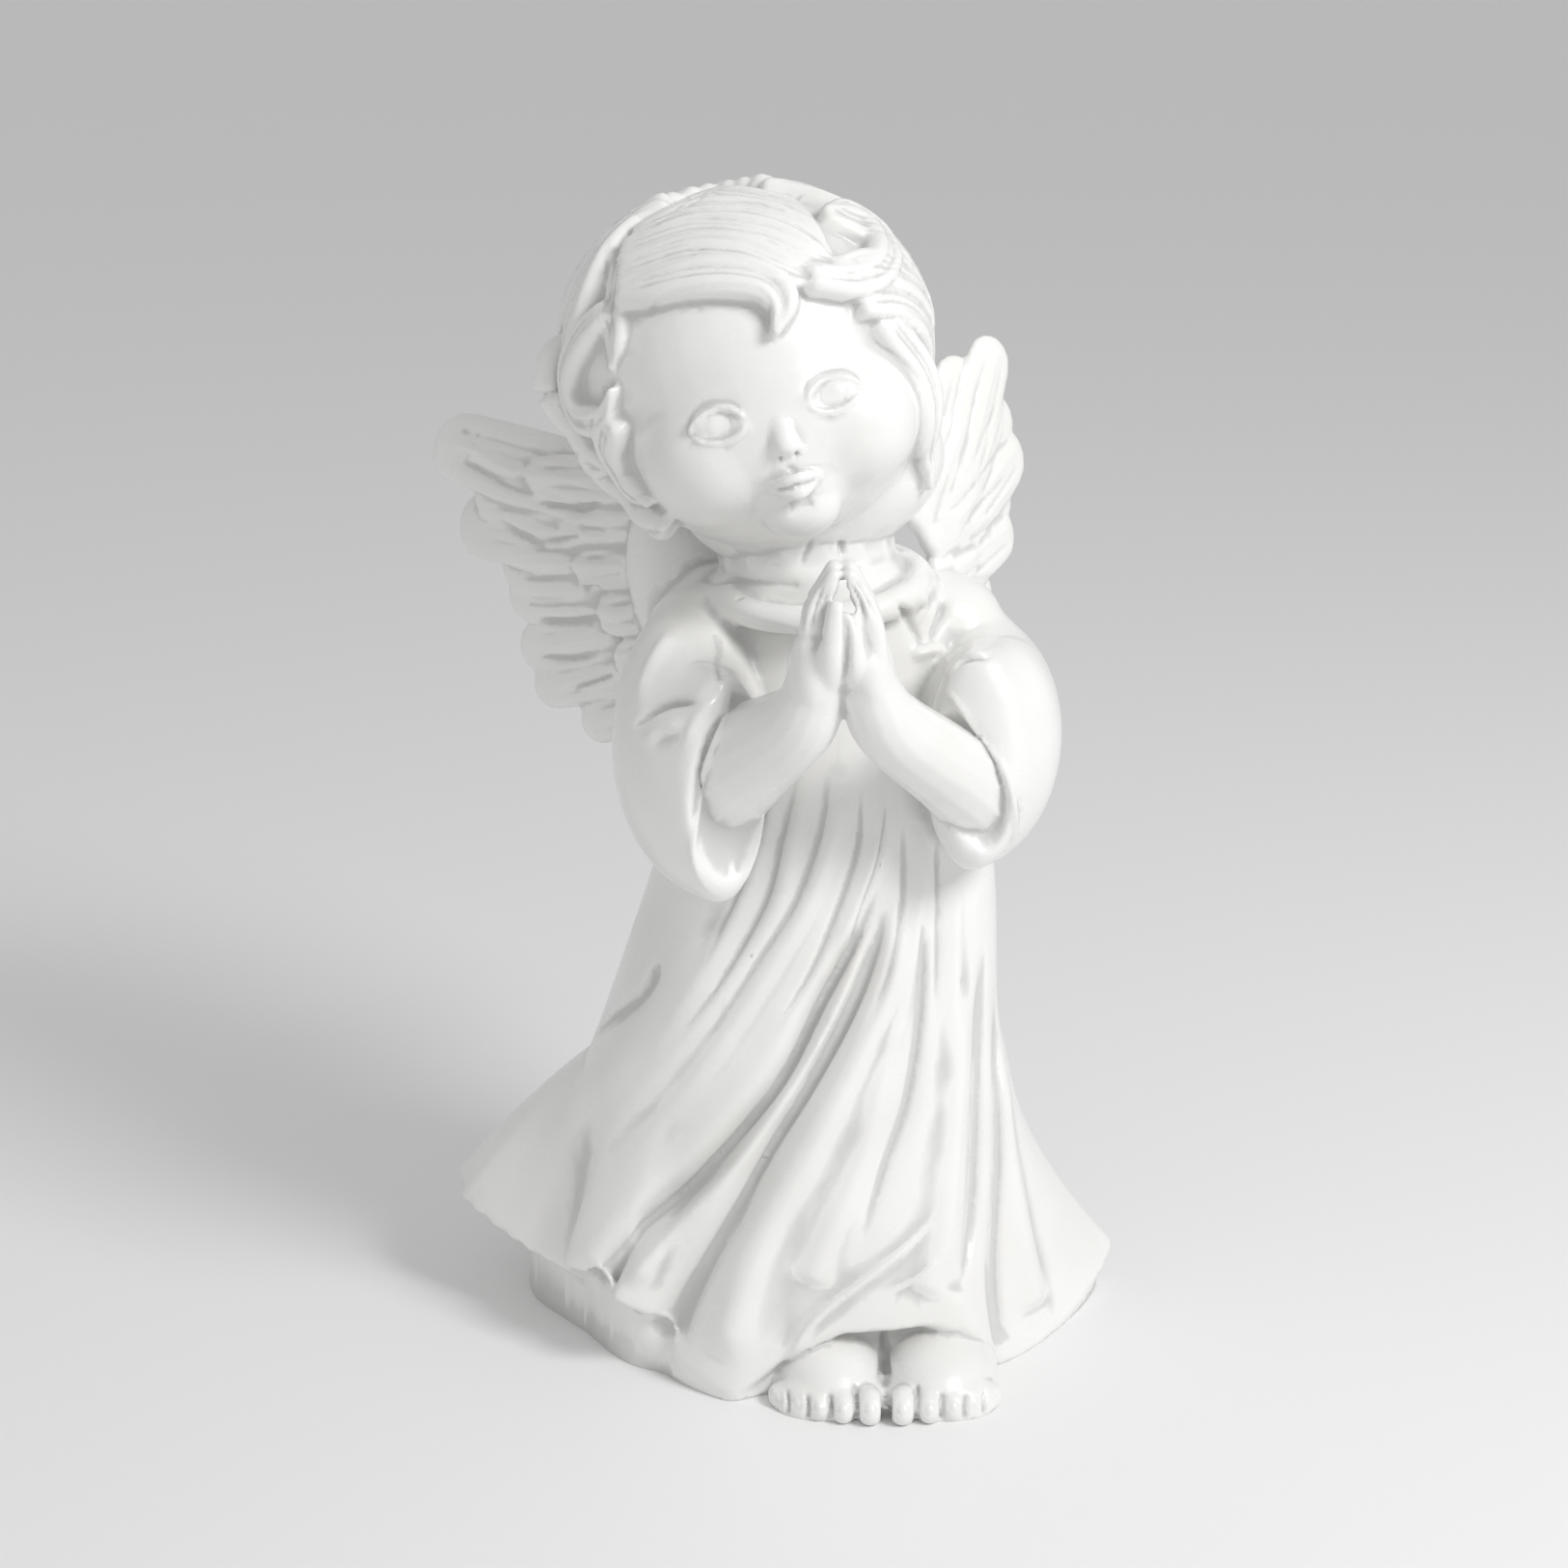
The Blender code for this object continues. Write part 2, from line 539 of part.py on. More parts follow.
def hair(clay, tree):
    """The locks: a parting at the left, a sweep over the brow with a forelock, curls at the sides."""
    for *points, width, depth, lift, strands in LOCKS:
        lock(clay, tree, points, width, depth, lift, strands)
    for i, azimuth in enumerate(BACK_LOCKS):
        turns = (azimuth + sway for sway in (-BACK_SWAY, BACK_SWAY, -BACK_SWAY, BACK_SWAY, 0))
        lift = BACK_LIFTS[i % len(BACK_LIFTS)]
        lock(clay, tree, tuple(zip(turns, (72, 48, 18, -12, -36))), 6.6, 2.6, lift, 3)


def head():
    """A small child's round head: full cheeks, small features, and the hair over it."""
    clay = bmesh.new()
    ball(clay, (-0.6, 5, 5), (28.2, 29, 24.6))
    ball(clay, (-2.4, 7, 5.5), (28.8, 29, 25.6))
    ball(clay, (0, -3, -6), (25, 23, 20))
    for side in (-1, 1):
        ball(clay, (side * 9.5, -11, -8.5), (13.5, 13.5, 12.5))
    ball(clay, (0, -15, -14), (9.5, 10, 10))
    ball(clay, (4, 6, -17), (23, 16, 15))
    skull = fused(clay, "skull", FUSE_GRAIN, 25)
    tree = tree_of(skull)
    clay = gathered(skull)
    sweep(clay, NOSE, up=FRONT)
    for side in (-1, 1):
        ball(clay, (side * 1.8, -24.6, -9.6), (1.3, 1.5, 1.2))
        ball(clay, (side * EYE_APART, -20.4, EYE_HEIGHT), (5.2, 4, 3.8))
    for lip in (UPPER_LIP, LOWER_LIP):
        sweep(clay, lip)
    ball(clay, (0, -18.8, -19.6), (6.5, 5.2, 5))
    hair(clay, tree)
    sweep(clay, OUTER_CURL)
    ball(clay, (-28.5, 5, 5.5), (5, 2.6, 7))
    made = fused(clay, "head", FINE_GRAIN, 3)
    made.data.transform(head_frame())
    return made


def hands():
    """Forearms that come out of the sleeves, and the hands pressed together."""
    clay = bmesh.new()
    for form in FOREARMS + THUMBS:
        sweep(clay, form)
    ball(clay, (4.6, -41, 130), (4.4, 6.5, 8), (0, 10, 0))
    ball(clay, (13.0, -41, 130), (4.2, 6.5, 8), (0, -12, 0))
    for i, tip in enumerate(FINGER_TIPS):
        y, spread = -44.2 + i * 3.1, 2.4 - i * 0.6
        for side in (-1, 1):
            knuckle = HANDS_MEET + side * (4.7 + spread * 0.3)
            bend = HANDS_MEET + side * (4.0 + spread * 0.2)
            end = HANDS_MEET + side * 1.2
            sweep(clay, ((knuckle, y, 130, 2.1), (bend, y, 138.5, 1.9), (end, y, tip, 1.35)))
    return fused(clay, "hands", FINE_GRAIN, 1)


def feet():
    """Two bare feet side by side under the hem."""
    clay = bmesh.new()
    for inner, side, turn in ((16.8, -1, 5), (17.2, 1, -7)):
        ball(clay, (inner + side * 9.6, -28, 1.5), (9.8, 14, 8.4), (0, 0, turn))
        ball(clay, (inner + side * 9.4, -35.5, 1), (9.6, 7, 5.2), (0, 0, turn))
        x = inner
        for i, (width, height) in enumerate(TOES):
            centre = (x + side * width / 2, -41.2 + 0.3 * i * i, height * 0.75)
            ball(clay, centre, (width * 0.53, width * 0.85, height), (0, 0, side * -4 * i))
            x += side * width * 0.97
    return fused(clay, "feet", FINE_GRAIN, 1)


def statue():
    """All the forms fused, thinned to plain facets, and cut flat underneath."""
    whole = fused(gathered(body(), wings(), head(), hands(), feet()), "angel_statue", WHOLE_GRAIN, 1)
    thin = whole.modifiers.new("thin", "DECIMATE")
    thin.ratio = SOLID_TRIANGLES / sum(len(face.vertices) - 2 for face in whole.data.polygons)
    return baked(whole)


for old in list(bpy.data.objects):
    bpy.data.objects.remove(old)

model = bpy.data.collections.new("cemetery_angel_statue")
helpers = bpy.data.collections.new("cutters")
for made_collection in (model, helpers):
    bpy.context.scene.collection.children.link(made_collection)

angel = statue()
angel.data.transform(Matrix.Translation((SHIFT[0] * MM, SHIFT[1] * MM, 0)))
bpy.context.scene.collection.objects.unlink(angel)
model.objects.link(angel)

bpy.ops.mesh.primitive_cube_add(size=1, location=(0, 0, -0.02))
ground = bpy.context.object
ground.name = "ground_cut"
ground.scale = (0.3, 0.3, 0.04)
for linked in list(ground.users_collection):
    linked.objects.unlink(ground)
helpers.objects.link(ground)
ground.hide_render = True
ground.display_type = "WIRE"

flat = angel.modifiers.new("flat_underside", "BOOLEAN")
flat.operation = "DIFFERENCE"
flat.solver = "EXACT"
flat.object = ground

resin = bpy.data.materials.new("white_resin")
resin.use_nodes = True
resin.node_tree.nodes["Principled BSDF"].inputs["Base Color"].default_value = (0.86, 0.86, 0.85, 1)
resin.node_tree.nodes["Principled BSDF"].inputs["Roughness"].default_value = 0.35
angel.data.materials.clear()
angel.data.materials.append(resin)
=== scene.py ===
# %% [markdown]
# # A small cast angel for a grave
#
# A winged child stands with its hands pressed together, in a long robe that swings out at the hem.
# It is one glossy white resin casting, about twenty centimetres tall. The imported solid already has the
# pose, the folds and the locks of hair as plain facets. This notebook models the same forms again with a
# finer grain, carves what a thumb or a small tool would leave, and gives the casting its surface.

# %% Setup
import math

import bmesh
import bpy
import numpy as np
from mathutils import Euler, Matrix, Vector
from mathutils.bvhtree import BVHTree


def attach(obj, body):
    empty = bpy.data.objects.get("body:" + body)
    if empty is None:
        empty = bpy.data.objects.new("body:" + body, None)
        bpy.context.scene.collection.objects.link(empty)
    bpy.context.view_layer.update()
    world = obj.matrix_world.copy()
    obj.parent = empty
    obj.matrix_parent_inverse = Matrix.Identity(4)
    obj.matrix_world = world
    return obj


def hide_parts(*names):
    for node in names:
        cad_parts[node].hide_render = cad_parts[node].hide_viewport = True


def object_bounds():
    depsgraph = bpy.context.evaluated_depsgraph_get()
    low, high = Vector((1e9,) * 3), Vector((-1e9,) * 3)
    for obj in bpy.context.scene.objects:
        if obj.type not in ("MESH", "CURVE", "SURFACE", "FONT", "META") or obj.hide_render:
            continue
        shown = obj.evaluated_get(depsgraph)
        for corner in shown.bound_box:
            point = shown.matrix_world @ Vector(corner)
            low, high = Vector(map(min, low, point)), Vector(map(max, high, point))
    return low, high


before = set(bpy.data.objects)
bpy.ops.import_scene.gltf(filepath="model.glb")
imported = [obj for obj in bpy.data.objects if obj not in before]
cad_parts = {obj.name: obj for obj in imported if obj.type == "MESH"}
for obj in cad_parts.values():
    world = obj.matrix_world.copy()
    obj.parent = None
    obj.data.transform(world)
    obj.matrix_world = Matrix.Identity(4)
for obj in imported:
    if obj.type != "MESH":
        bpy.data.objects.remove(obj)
CAD_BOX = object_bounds()

MM = 0.001
UP, FRONT = (0, 0, 1), (0, -1, 0)
print("the solid's box", CAD_BOX)

# %% [markdown]
# ## Sizes
#
# Everything is modelled in millimetres in the sculptor's own frame, where the robe's axis stands at
# x = 0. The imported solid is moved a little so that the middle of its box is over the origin, so the
# finished casting is moved by the same `SHIFT`.
#
# The three grains are the sizes of the smallest lump that each stage of the clay keeps.

# %% Grain and place
SHIFT = (0.81, 0.951)
FUSE_GRAIN = 0.8
FINE_GRAIN = 0.4
WHOLE_GRAIN = 0.42
CAST_TRIANGLES = 190000

# %% [markdown]
# ## The camera
#
# The photograph looks down on the ornament from about half a metre away, as one would at something on a
# table. The tall frame is close up, so the head looks large and the feet small.

# %% Camera
CAMERA_AWAY, CAMERA_HIGH, CAMERA_DOWN = 520.0, 260.0, 17.24
FOCAL_PIXELS, PICTURE_PIXELS, SENSOR = 3300, 1625, 36.0

lens = bpy.data.cameras.new("camera")
lens.sensor_width = SENSOR
lens.lens = SENSOR * FOCAL_PIXELS / PICTURE_PIXELS
lens.clip_start = 0.01
camera = bpy.data.objects.new("camera", lens)
camera.location = (SHIFT[0] * MM, (SHIFT[1] - CAMERA_AWAY) * MM, CAMERA_HIGH * MM)
camera.rotation_euler = (math.radians(90 - CAMERA_DOWN), 0, 0)
bpy.context.scene.collection.objects.link(camera)
bpy.context.scene.camera = camera
print("camera", tuple(round(c, 3) for c in camera.location))

# %% [markdown]
# ## Working in clay
#
# Each form is a ball, a sweep along a path, or a band. Forms that touch are laid in one lump of clay and
# fused by a voxel remesh, which is what gives the joins their soft webs.

# %% Clay
def rotation(turn):
    """The rotation for three angles in degrees, about x, then y, then z."""
    return Euler([math.radians(angle) for angle in turn]).to_matrix()


def head_frame():
    """Where the head's own frame lies: nodded, tilted to one side, then turned."""
    nod, tilt, yaw = (math.radians(angle) for angle in HEAD_TURN)
    turned = Matrix.Rotation(yaw, 4, "Z") @ Matrix.Rotation(tilt, 4, "Y") @ Matrix.Rotation(nod, 4, "X")
    return Matrix.Translation(Vector(HEAD_CENTRE) * MM) @ turned


def smooth_row(stations, steps):
    """Rows read at even steps from a smooth curve through the stations."""
    rows = np.asarray(stations, float)
    padded = np.vstack([2 * rows[0] - rows[1], rows, 2 * rows[-1] - rows[-2]])
    t = np.linspace(0, len(rows) - 1, steps)
    i = np.minimum(t.astype(int), len(rows) - 2)
    f = (t - i)[:, None]
    a, b, c, d = padded[i], padded[i + 1], padded[i + 2], padded[i + 3]
    return 0.5 * (2 * b + (c - a) * f + (2 * a - 5 * b + 4 * c - d) * f**2 + (3 * b - a - 3 * c + d) * f**3)


def ball(clay, centre, radii, turn=(0, 0, 0)):
    """An ellipsoid laid in the clay."""
    place = Matrix.Translation(Vector(centre) * MM) @ rotation(turn).to_4x4()
    place = place @ Matrix.Diagonal((*(radius * MM for radius in radii), 1.0))
    bmesh.ops.create_uvsphere(clay, u_segments=32, v_segments=20, radius=1, matrix=place)


def skin(clay, rings, closed=False):
    """A skin over rings of equally many points; it has flat ends unless it closes on itself."""
    made = [[clay.verts.new(Vector(point) * MM) for point in ring] for ring in rings]
    count = len(made[0])
    pairs = list(zip(made, made[1:]))
    if closed:
        pairs.append((made[-1], made[0]))
    for low, high in pairs:
        for i in range(count):
            j = (i + 1) % count
            clay.faces.new((low[i], low[j], high[j], high[i]))
    if not closed:
        clay.faces.new(list(reversed(made[0])))
        clay.faces.new(made[-1])


def sweep(clay, stations, up=UP, steps=24, sides=14, ends=(1.0, 1.0)):
    """A round-ended form along a smooth path; a station is x, y, z, half width and half thickness."""
    rows = np.asarray(stations, float)
    if rows.shape[1] == 4:
        rows = np.hstack([rows, rows[:, 3:4]])
    rows = smooth_row(rows, steps)
    path, width, depth = rows[:, :3], rows[:, 3], rows[:, 4]
    along = np.gradient(path, axis=0)
    along /= np.linalg.norm(along, axis=1)[:, None]
    ups = np.asarray(up, float)
    if ups.ndim == 1:
        ups = np.tile(ups, (2, 1))
    ups = smooth_row(ups, steps)
    cap = np.radians((78, 55, 30))
    lead = [(0, -ends[0] * math.sin(a), math.cos(a)) for a in cap]
    tail = [(-1, ends[1] * math.sin(a), math.cos(a)) for a in cap[::-1]]
    middle = [(i, 0, 1) for i in range(steps)]
    angles = np.linspace(0, 2 * math.pi, sides, endpoint=False)
    rings = []
    for i, reach, share in lead + middle + tail:
        normal = ups[i] - along[i] * (ups[i] @ along[i])
        normal /= np.linalg.norm(normal)
        side = np.cross(along[i], normal)
        centre = path[i] + along[i] * width[i] * reach
        round_part = np.outer(np.cos(angles) * width[i], side) + np.outer(np.sin(angles) * depth[i], normal)
        rings.append(centre + share * round_part)
    skin(clay, rings)


def band(clay, centre, radii, turn, width, steps=40, sides=12):
    """A round band that runs once round an ellipse."""
    spin = np.array(rotation(turn))
    angles = np.linspace(0, 2 * math.pi, sides, endpoint=False)
    rings = []
    for a in np.linspace(0, 2 * math.pi, steps, endpoint=False):
        out = spin @ (math.sin(a), -math.cos(a), 0)
        middle = np.array(centre) + spin @ (radii[0] * math.sin(a), -radii[1] * math.cos(a), 0)
        rings.append(middle + width * (np.outer(np.cos(angles), out) + np.outer(np.sin(angles), spin @ UP)))
    skin(clay, rings, closed=True)

# %% Fusing
def placed(clay, name):
    """The clay as an object in the scene."""
    bmesh.ops.recalc_face_normals(clay, faces=clay.faces)
    mesh = bpy.data.meshes.new(name)
    clay.to_mesh(mesh)
    clay.free()
    obj = bpy.data.objects.new(name, mesh)
    bpy.context.scene.collection.objects.link(obj)
    return obj


def baked(obj):
    """The object again with its modifiers worked in."""
    name = obj.name
    graph = bpy.context.evaluated_depsgraph_get()
    mesh = bpy.data.meshes.new_from_object(obj.evaluated_get(graph))
    bpy.data.objects.remove(obj)
    made = bpy.data.objects.new(name, mesh)
    bpy.context.scene.collection.objects.link(made)
    return made


def softened(obj, rounds):
    """The object with its surface smoothed."""
    soften = obj.modifiers.new("soften", "SMOOTH")
    soften.iterations = rounds
    soften.factor = 0.5
    return baked(obj)


def fused(clay, name, grain, rounds):
    """The forms in the clay as one skin with soft joins."""
    obj = placed(clay, name)
    fuse = obj.modifiers.new("fuse", "REMESH")
    fuse.mode = "VOXEL"
    fuse.voxel_size = grain * MM
    return softened(obj, rounds)


def gathered(*objects):
    """New clay that holds the objects, which are removed."""
    clay = bmesh.new()
    for obj in objects:
        clay.from_mesh(obj.data)
        bpy.data.objects.remove(obj)
    return clay


def points_and_normals(obj):
    """The object's points in millimetres, and the way the surface faces at each."""
    count = len(obj.data.vertices)
    points, normals = np.empty(count * 3, np.float32), np.empty(count * 3, np.float32)
    obj.data.vertices.foreach_get("co", points)
    obj.data.vertex_normals.foreach_get("vector", normals)
    return points.reshape(-1, 3).astype(float) / MM, normals.reshape(-1, 3).astype(float)


def set_points(obj, points):
    """Moves the object's points."""
    obj.data.vertices.foreach_set("co", (points * MM).astype(np.float32).ravel())
    obj.data.update()

# %% [markdown]
# A stroke is one pass of a tool: it raises or carves a rounded line along a path on the surface. A scoop
# presses a hollow. Rays find where a path lies on a surface.

# %% Strokes
def stroke(points, normals, path, widths, heights, ends):
    """Raises or, where the height is negative, carves a rounded line that fades over its end shares."""
    path = np.asarray(path, float)
    reach = 2.2 * max(widths)
    near = np.flatnonzero(((points > path.min(0) - reach) & (points < path.max(0) + reach)).all(1))
    best = np.full(len(near), 1e9)
    share = np.zeros(len(near))
    for i in range(len(path) - 1):
        span = path[i + 1] - path[i]
        t = np.clip((points[near] - path[i]) @ span / (span @ span), 0, 1)
        away = np.linalg.norm(points[near] - path[i] - t[:, None] * span, axis=1)
        closer = away < best
        best[closer] = away[closer]
        share[closer] = (i + t[closer]) / (len(path) - 1)
    width = widths[0] + (widths[1] - widths[0]) * share
    height = heights[0] + (heights[1] - heights[0]) * share
    fade = np.clip(np.minimum(share / ends[0], (1 - share) / ends[1]), 0, 1)
    lift = height * np.exp(-((best / width) ** 2)) * fade * fade * (3 - 2 * fade)
    moved = points.copy()
    moved[near] += normals[near] * lift[:, None]
    return moved


def scooped(points, centre, radii, turn, direction):
    """Pushes the points inside an ellipsoid along a direction, onto its far side."""
    spin = np.array(rotation(turn))
    local = ((points - centre) @ spin) / radii
    inside = np.flatnonzero((local**2).sum(1) < 1)
    step = np.asarray(direction, float) / np.linalg.norm(direction)
    way = (step @ spin) / radii
    a, b, c = way @ way, local[inside] @ way, (local[inside] ** 2).sum(1) - 1
    moved = points.copy()
    moved[inside] += np.outer((-b + np.sqrt(b * b - a * c)) / a, step)
    return moved


def tree_of(obj):
    """The object's surface, made ready for rays."""
    return BVHTree.FromObject(obj, bpy.context.evaluated_depsgraph_get())


def hit_point(tree, start, direction):
    """Where a ray first meets the surface, or None."""
    found = tree.ray_cast(Vector(start) * MM, Vector(direction))[0]
    return None if found is None else np.array(found) / MM

# %% [markdown]
# ## The robe
#
# Looked at from above, the robe is an ellipse at each height. Near the ground it flares out to a hem that
# swings high at the viewer's left, dips to the ground beside the feet, and arches over them. Under the
# hem stands a narrower foot.

# %% Robe sizes
# The robe as ellipses: height, centre x, centre y, half width, half depth.
ROBE = (
    (-3, 0, 4, 41, 33),
    (20, 1, 4, 40, 33),
    (43, 2, 3.5, 38, 31),
    (57, 3, 3, 34.5, 28.5),
    (81, 6.5, 2.5, 30, 24),
    (100, 8, 2, 26, 20),
    (118, 8.5, 2, 24, 17),
    (130, 8, 1, 20, 14),
    (138, 6, -1, 12, 11),
)
FLARE_TOP = 47
# The hem round the robe: azimuth from the front, reach, height, how far the foot is set back,
# and how hollow the flare above it is.
HEM = (
    (-180, 42, 4, 2.5, 1.6),
    (-150, 46, 7, 4, 1.5),
    (-122, 55, 15, 8, 1.2),
    (-100, 62, 20.5, 14, 0.95),
    (-90, 59.5, 19, 14, 1.0),
    (-78, 49.5, 15, 9, 1.3),
    (-69, 41.0, 11, 3, 1.9),
    (-61, 45.5, 16.5, 8, 1.4),
    (-44, 44.5, 14.5, 7, 1.4),
    (-36, 39.0, 11, 3, 1.8),
    (-29, 38.5, 4, 1, 1.6),
    (-13, 41.5, 1, 1, 1.6),
    (0, 39, 8, 4, 1.7),
    (14, 39, 11.5, 6, 1.7),
    (33, 42.5, 12, 6, 1.7),
    (44, 47, 9, 5, 1.7),
    (55, 46, 0.5, 1, 1.7),
    (74, 50, 0.5, 1, 1.7),
    (96, 60.5, 7.5, 3, 1.9),
    (122, 54, 6, 3, 1.7),
    (150, 46, 4, 2.5, 1.6),
    (180, 42, 4, 2.5, 1.6),
)
HEM_STEPS = 240
HEM_EDGE = 1.6

# Folds carved or raised in the robe, as (x, z) points seen from the front, the width at the top
# and at the bottom, and the height at the top and at the bottom.
FOLDS = (
    ((-8, 80), (-20, 61.6), (-34, 43), (-46, 28), (5, 8), (1.4, 2.0)),
    ((16.3, 92), (13, 80), (10, 74), (6, 67), (1, 57), (-4, 50), (-11.5, 40.5), (-19, 32), (-28, 23),
     (-36, 11), (1.5, 2.8), (-2.8, -5.0)),
    ((17.4, 87), (15, 76), (10.5, 65), (4.6, 54), (-2, 43), (-7.6, 33), (-14.6, 21), (-22, 5), (1.5, 2.6),
     (-2.8, -4.4)),
    ((15.5, 83), (11.5, 70), (4, 58), (-6, 45), (-17, 31), (-28, 17), (1.8, 2.6), (1.6, 2.4)),
    ((19, 84), (18, 72), (12, 58), (4, 42), (-4, 27), (-11, 6), (2.4, 3.6), (1.8, 2.2)),
    ((-0.4, 107), (-3.8, 92), (-7, 83), (-14, 69), (-22, 55), (-31, 42), (1.4, 2.4), (1.4, 1.0)),
    ((4.7, 108), (1.8, 96), (-1, 84), (-8.5, 71), (-18, 57), (-28, 44), (-38, 31), (1.4, 2.4), (1.4, 0.9)),
    ((9.3, 108), (8.2, 97), (4.2, 85), (-2, 74), (-12, 58), (-22, 44), (-31, 31), (1.4, 2.2), (1.4, 0.9)),
    ((15.9, 105), (15, 92), (11, 80), (9, 72), (5, 62), (-1, 52), (1.4, 1.6), (1.4, 0.8)),
    ((21.4, 98), (22.7, 84), (19.8, 66), (16, 54), (11, 43), (1.4, 1.8), (1.2, 0.8)),
    ((28.6, 88), (28.5, 70), (27.6, 50), (1.6, 1.8), (1.2, 0.8)),
    ((22.8, 86), (23, 67), (20.8, 50), (16.2, 37), (12.3, 24), (1.8, 2.4), (-1.4, -1.0)),
    ((34, 75), (33.2, 47), (32, 26), (29.5, 15.5), (1.6, 2.4), (-1.4, -1.0)),
    ((30, 70), (29, 47), (27, 28), (23, 17), (2.4, 3.0), (1.4, 1.4)),
    ((38, 60), (38.5, 40), (41, 22), (44, 6), (2.2, 3.6), (1.0, 1.6)),
    ((36.3, 64), (37.2, 37), (36.3, 15), (37.5, 3), (1.6, 2.2), (-1.0, -1.4)),
    ((17, 60), (14, 44), (8, 30), (4, 20), (2.2, 2.6), (1.0, 1.2)),
    ((-0.7, 4.2), (4.6, 13.7), (13, 20.4), (20.8, 25.5), (27, 30.4), (1.2, 1.0), (1.3, 0.8)),
    ((-20.9, 71.3), (-24, 64.4), (-30.7, 56.2), (-35, 48), (1.5, 1.8), (-1.2, -1.6)),
)
# A fold that ends above this height fades out slowly; the others run into the hem.
FADE_ABOVE = 23
SLOW_FADE, HEM_FADE = (0.2, 0.45), (0.2, 0.06)
# Plainer folds down the back: azimuth at the top and at the hem, and the height of the top.
BACK_FOLDS = (
    (110, 118, 82),
    (132, 138, 96),
    (152, 152, 88),
    (172, 166, 98),
    (192, 182, 86),
    (210, 200, 96),
    (230, 220, 84),
    (248, 236, 74),
)
BACK_FOLD_WIDTHS, BACK_FOLD_HEIGHTS = (2.0, 5.0), (2.0, 2.8)

# %% Robe form
def robe(clay):
    """The robe: an ellipse at each height that flares out to an uneven hem set over a narrower foot."""
    turn = np.linspace(-180, 180, HEM_STEPS, endpoint=False)
    hem = np.array(HEM, float)
    reach, rise, tuck, power = (np.interp(turn, hem[:, 0], hem[:, k]) for k in (1, 2, 3, 4))
    across, forward = np.sin(np.radians(turn)), np.cos(np.radians(turn))
    rings = []
    for z, cx, cy, half_x, half_y in smooth_row(ROBE, 150):
        core = 1 / np.sqrt((across / half_x) ** 2 + (forward / half_y) ** 2)
        share = np.clip((FLARE_TOP - z) / (FLARE_TOP - rise), 0, 1)
        under = np.clip((rise - z) / HEM_EDGE, 0, 1)
        r = core + (reach - core) * share**power - tuck * under * under * (3 - 2 * under)
        rings.append(np.stack([cx + r * across, cy - r * forward, np.full(HEM_STEPS, z)], 1))
    skin(clay, rings)


def front_path(tree, points, steps=40):
    """A path on the surface behind (x, z) points seen from the front."""
    path = (hit_point(tree, (x, -120, z), (0, 1, 0)) for x, z in smooth_row(points, steps))
    return [point for point in path if point is not None]


def back_path(tree, top_turn, hem_turn, top, low=5, steps=30):
    """A path down the robe's back between two azimuths."""
    path = []
    for share in np.linspace(0, 1, steps):
        a = math.radians(top_turn + (hem_turn - top_turn) * share)
        start = (200 * math.sin(a), 4 - 200 * math.cos(a), top + (low - top) * share)
        path.append(hit_point(tree, start, (-math.sin(a), math.cos(a), 0)))
    return [point for point in path if point is not None]

# %% [markdown]
# ## Sleeves and collar
#
# The sleeves are wide bells. Their mouths are dished, and the rims stand proud of the forearms.

# %% Body
# A bell sleeve from the shoulder to its mouth: x, y, z, half width, half height.
LEFT_SLEEVE = (
    (-11, 6, 125, 11, 11),
    (-15.5, -8, 114, 12.5, 17.5),
    (-15, -20, 107.5, 12.5, 19.5),
    (-10, -31, 107, 8, 19.5),
)
RIGHT_SLEEVE = (
    (27, 9, 124, 9.5, 9.5),
    (33, -1, 113, 12, 16.5),
    (34, -13, 109.5, 11.8, 18.5),
    (30.5, -25, 110, 8, 18.5),
)
# The hollows that open the sleeves and let the feet stand clear under the hem: centre, radii, turn,
# and the way the surface is pushed.
SLEEVE_HOLLOWS = (
    ((-5.5, -37, 107), (9.5, 10.5, 18.5), (0, 4, 0), (0, 1, 0)),
    ((-0.5, -35, 121), (9.5, 9, 10.5), (0, 0, 0), (0, 1, 0)),
    ((28.8, -34, 109), (6.8, 10.5, 18.3), (0, -21, 0), (-0.15, 1, 0)),
)
FEET_HOLLOW = ((18, -44, -1), (21, 15, 12.5), (0, 0, 0), (0, 1, 0.15))
SHOULDERS = (((-12, 0, 125.5), (11.5, 10, 8.5)), ((26, 4, 126.5), (11, 10, 8.5)))
NECK = ((6, 3, 126, 15, 12), (2, 2, 148, 15, 13))
COLLAR_CENTRE, COLLAR_RADII, COLLAR_TURN, COLLAR_WIDTH = (6, -1.5, 134), (16.5, 15.5), (8, -4, 0), 2.6
def body():
    """The robe with its folds, the collar and the two hollow sleeves."""
    clay = bmesh.new()
    robe(clay)
    shell = placed(clay, "shell")
    tree = tree_of(shell)
    clay = gathered(shell)
    for sleeve in (LEFT_SLEEVE, RIGHT_SLEEVE):
        sweep(clay, sleeve, steps=30, sides=28, ends=(1, 0.4))
    for centre, radii in SHOULDERS:
        ball(clay, centre, radii)
    sweep(clay, NECK, up=FRONT)
    band(clay, COLLAR_CENTRE, COLLAR_RADII, COLLAR_TURN, COLLAR_WIDTH)
    made = fused(clay, "body", FUSE_GRAIN, 5)
    points, normals = points_and_normals(made)
    for *path, widths, heights in FOLDS:
        fade = SLOW_FADE if path[-1][1] > FADE_ABOVE else HEM_FADE
        points = stroke(points, normals, front_path(tree, path), widths, heights, fade)
    for top_turn, hem_turn, top in BACK_FOLDS:
        path = back_path(tree, top_turn, hem_turn, top)
        points = stroke(points, normals, path, BACK_FOLD_WIDTHS, BACK_FOLD_HEIGHTS, HEM_FADE)
    for hollow in (*SLEEVE_HOLLOWS, FEET_HOLLOW):
        points = scooped(points, *hollow)
    set_points(made, points)
    return softened(made, 2)

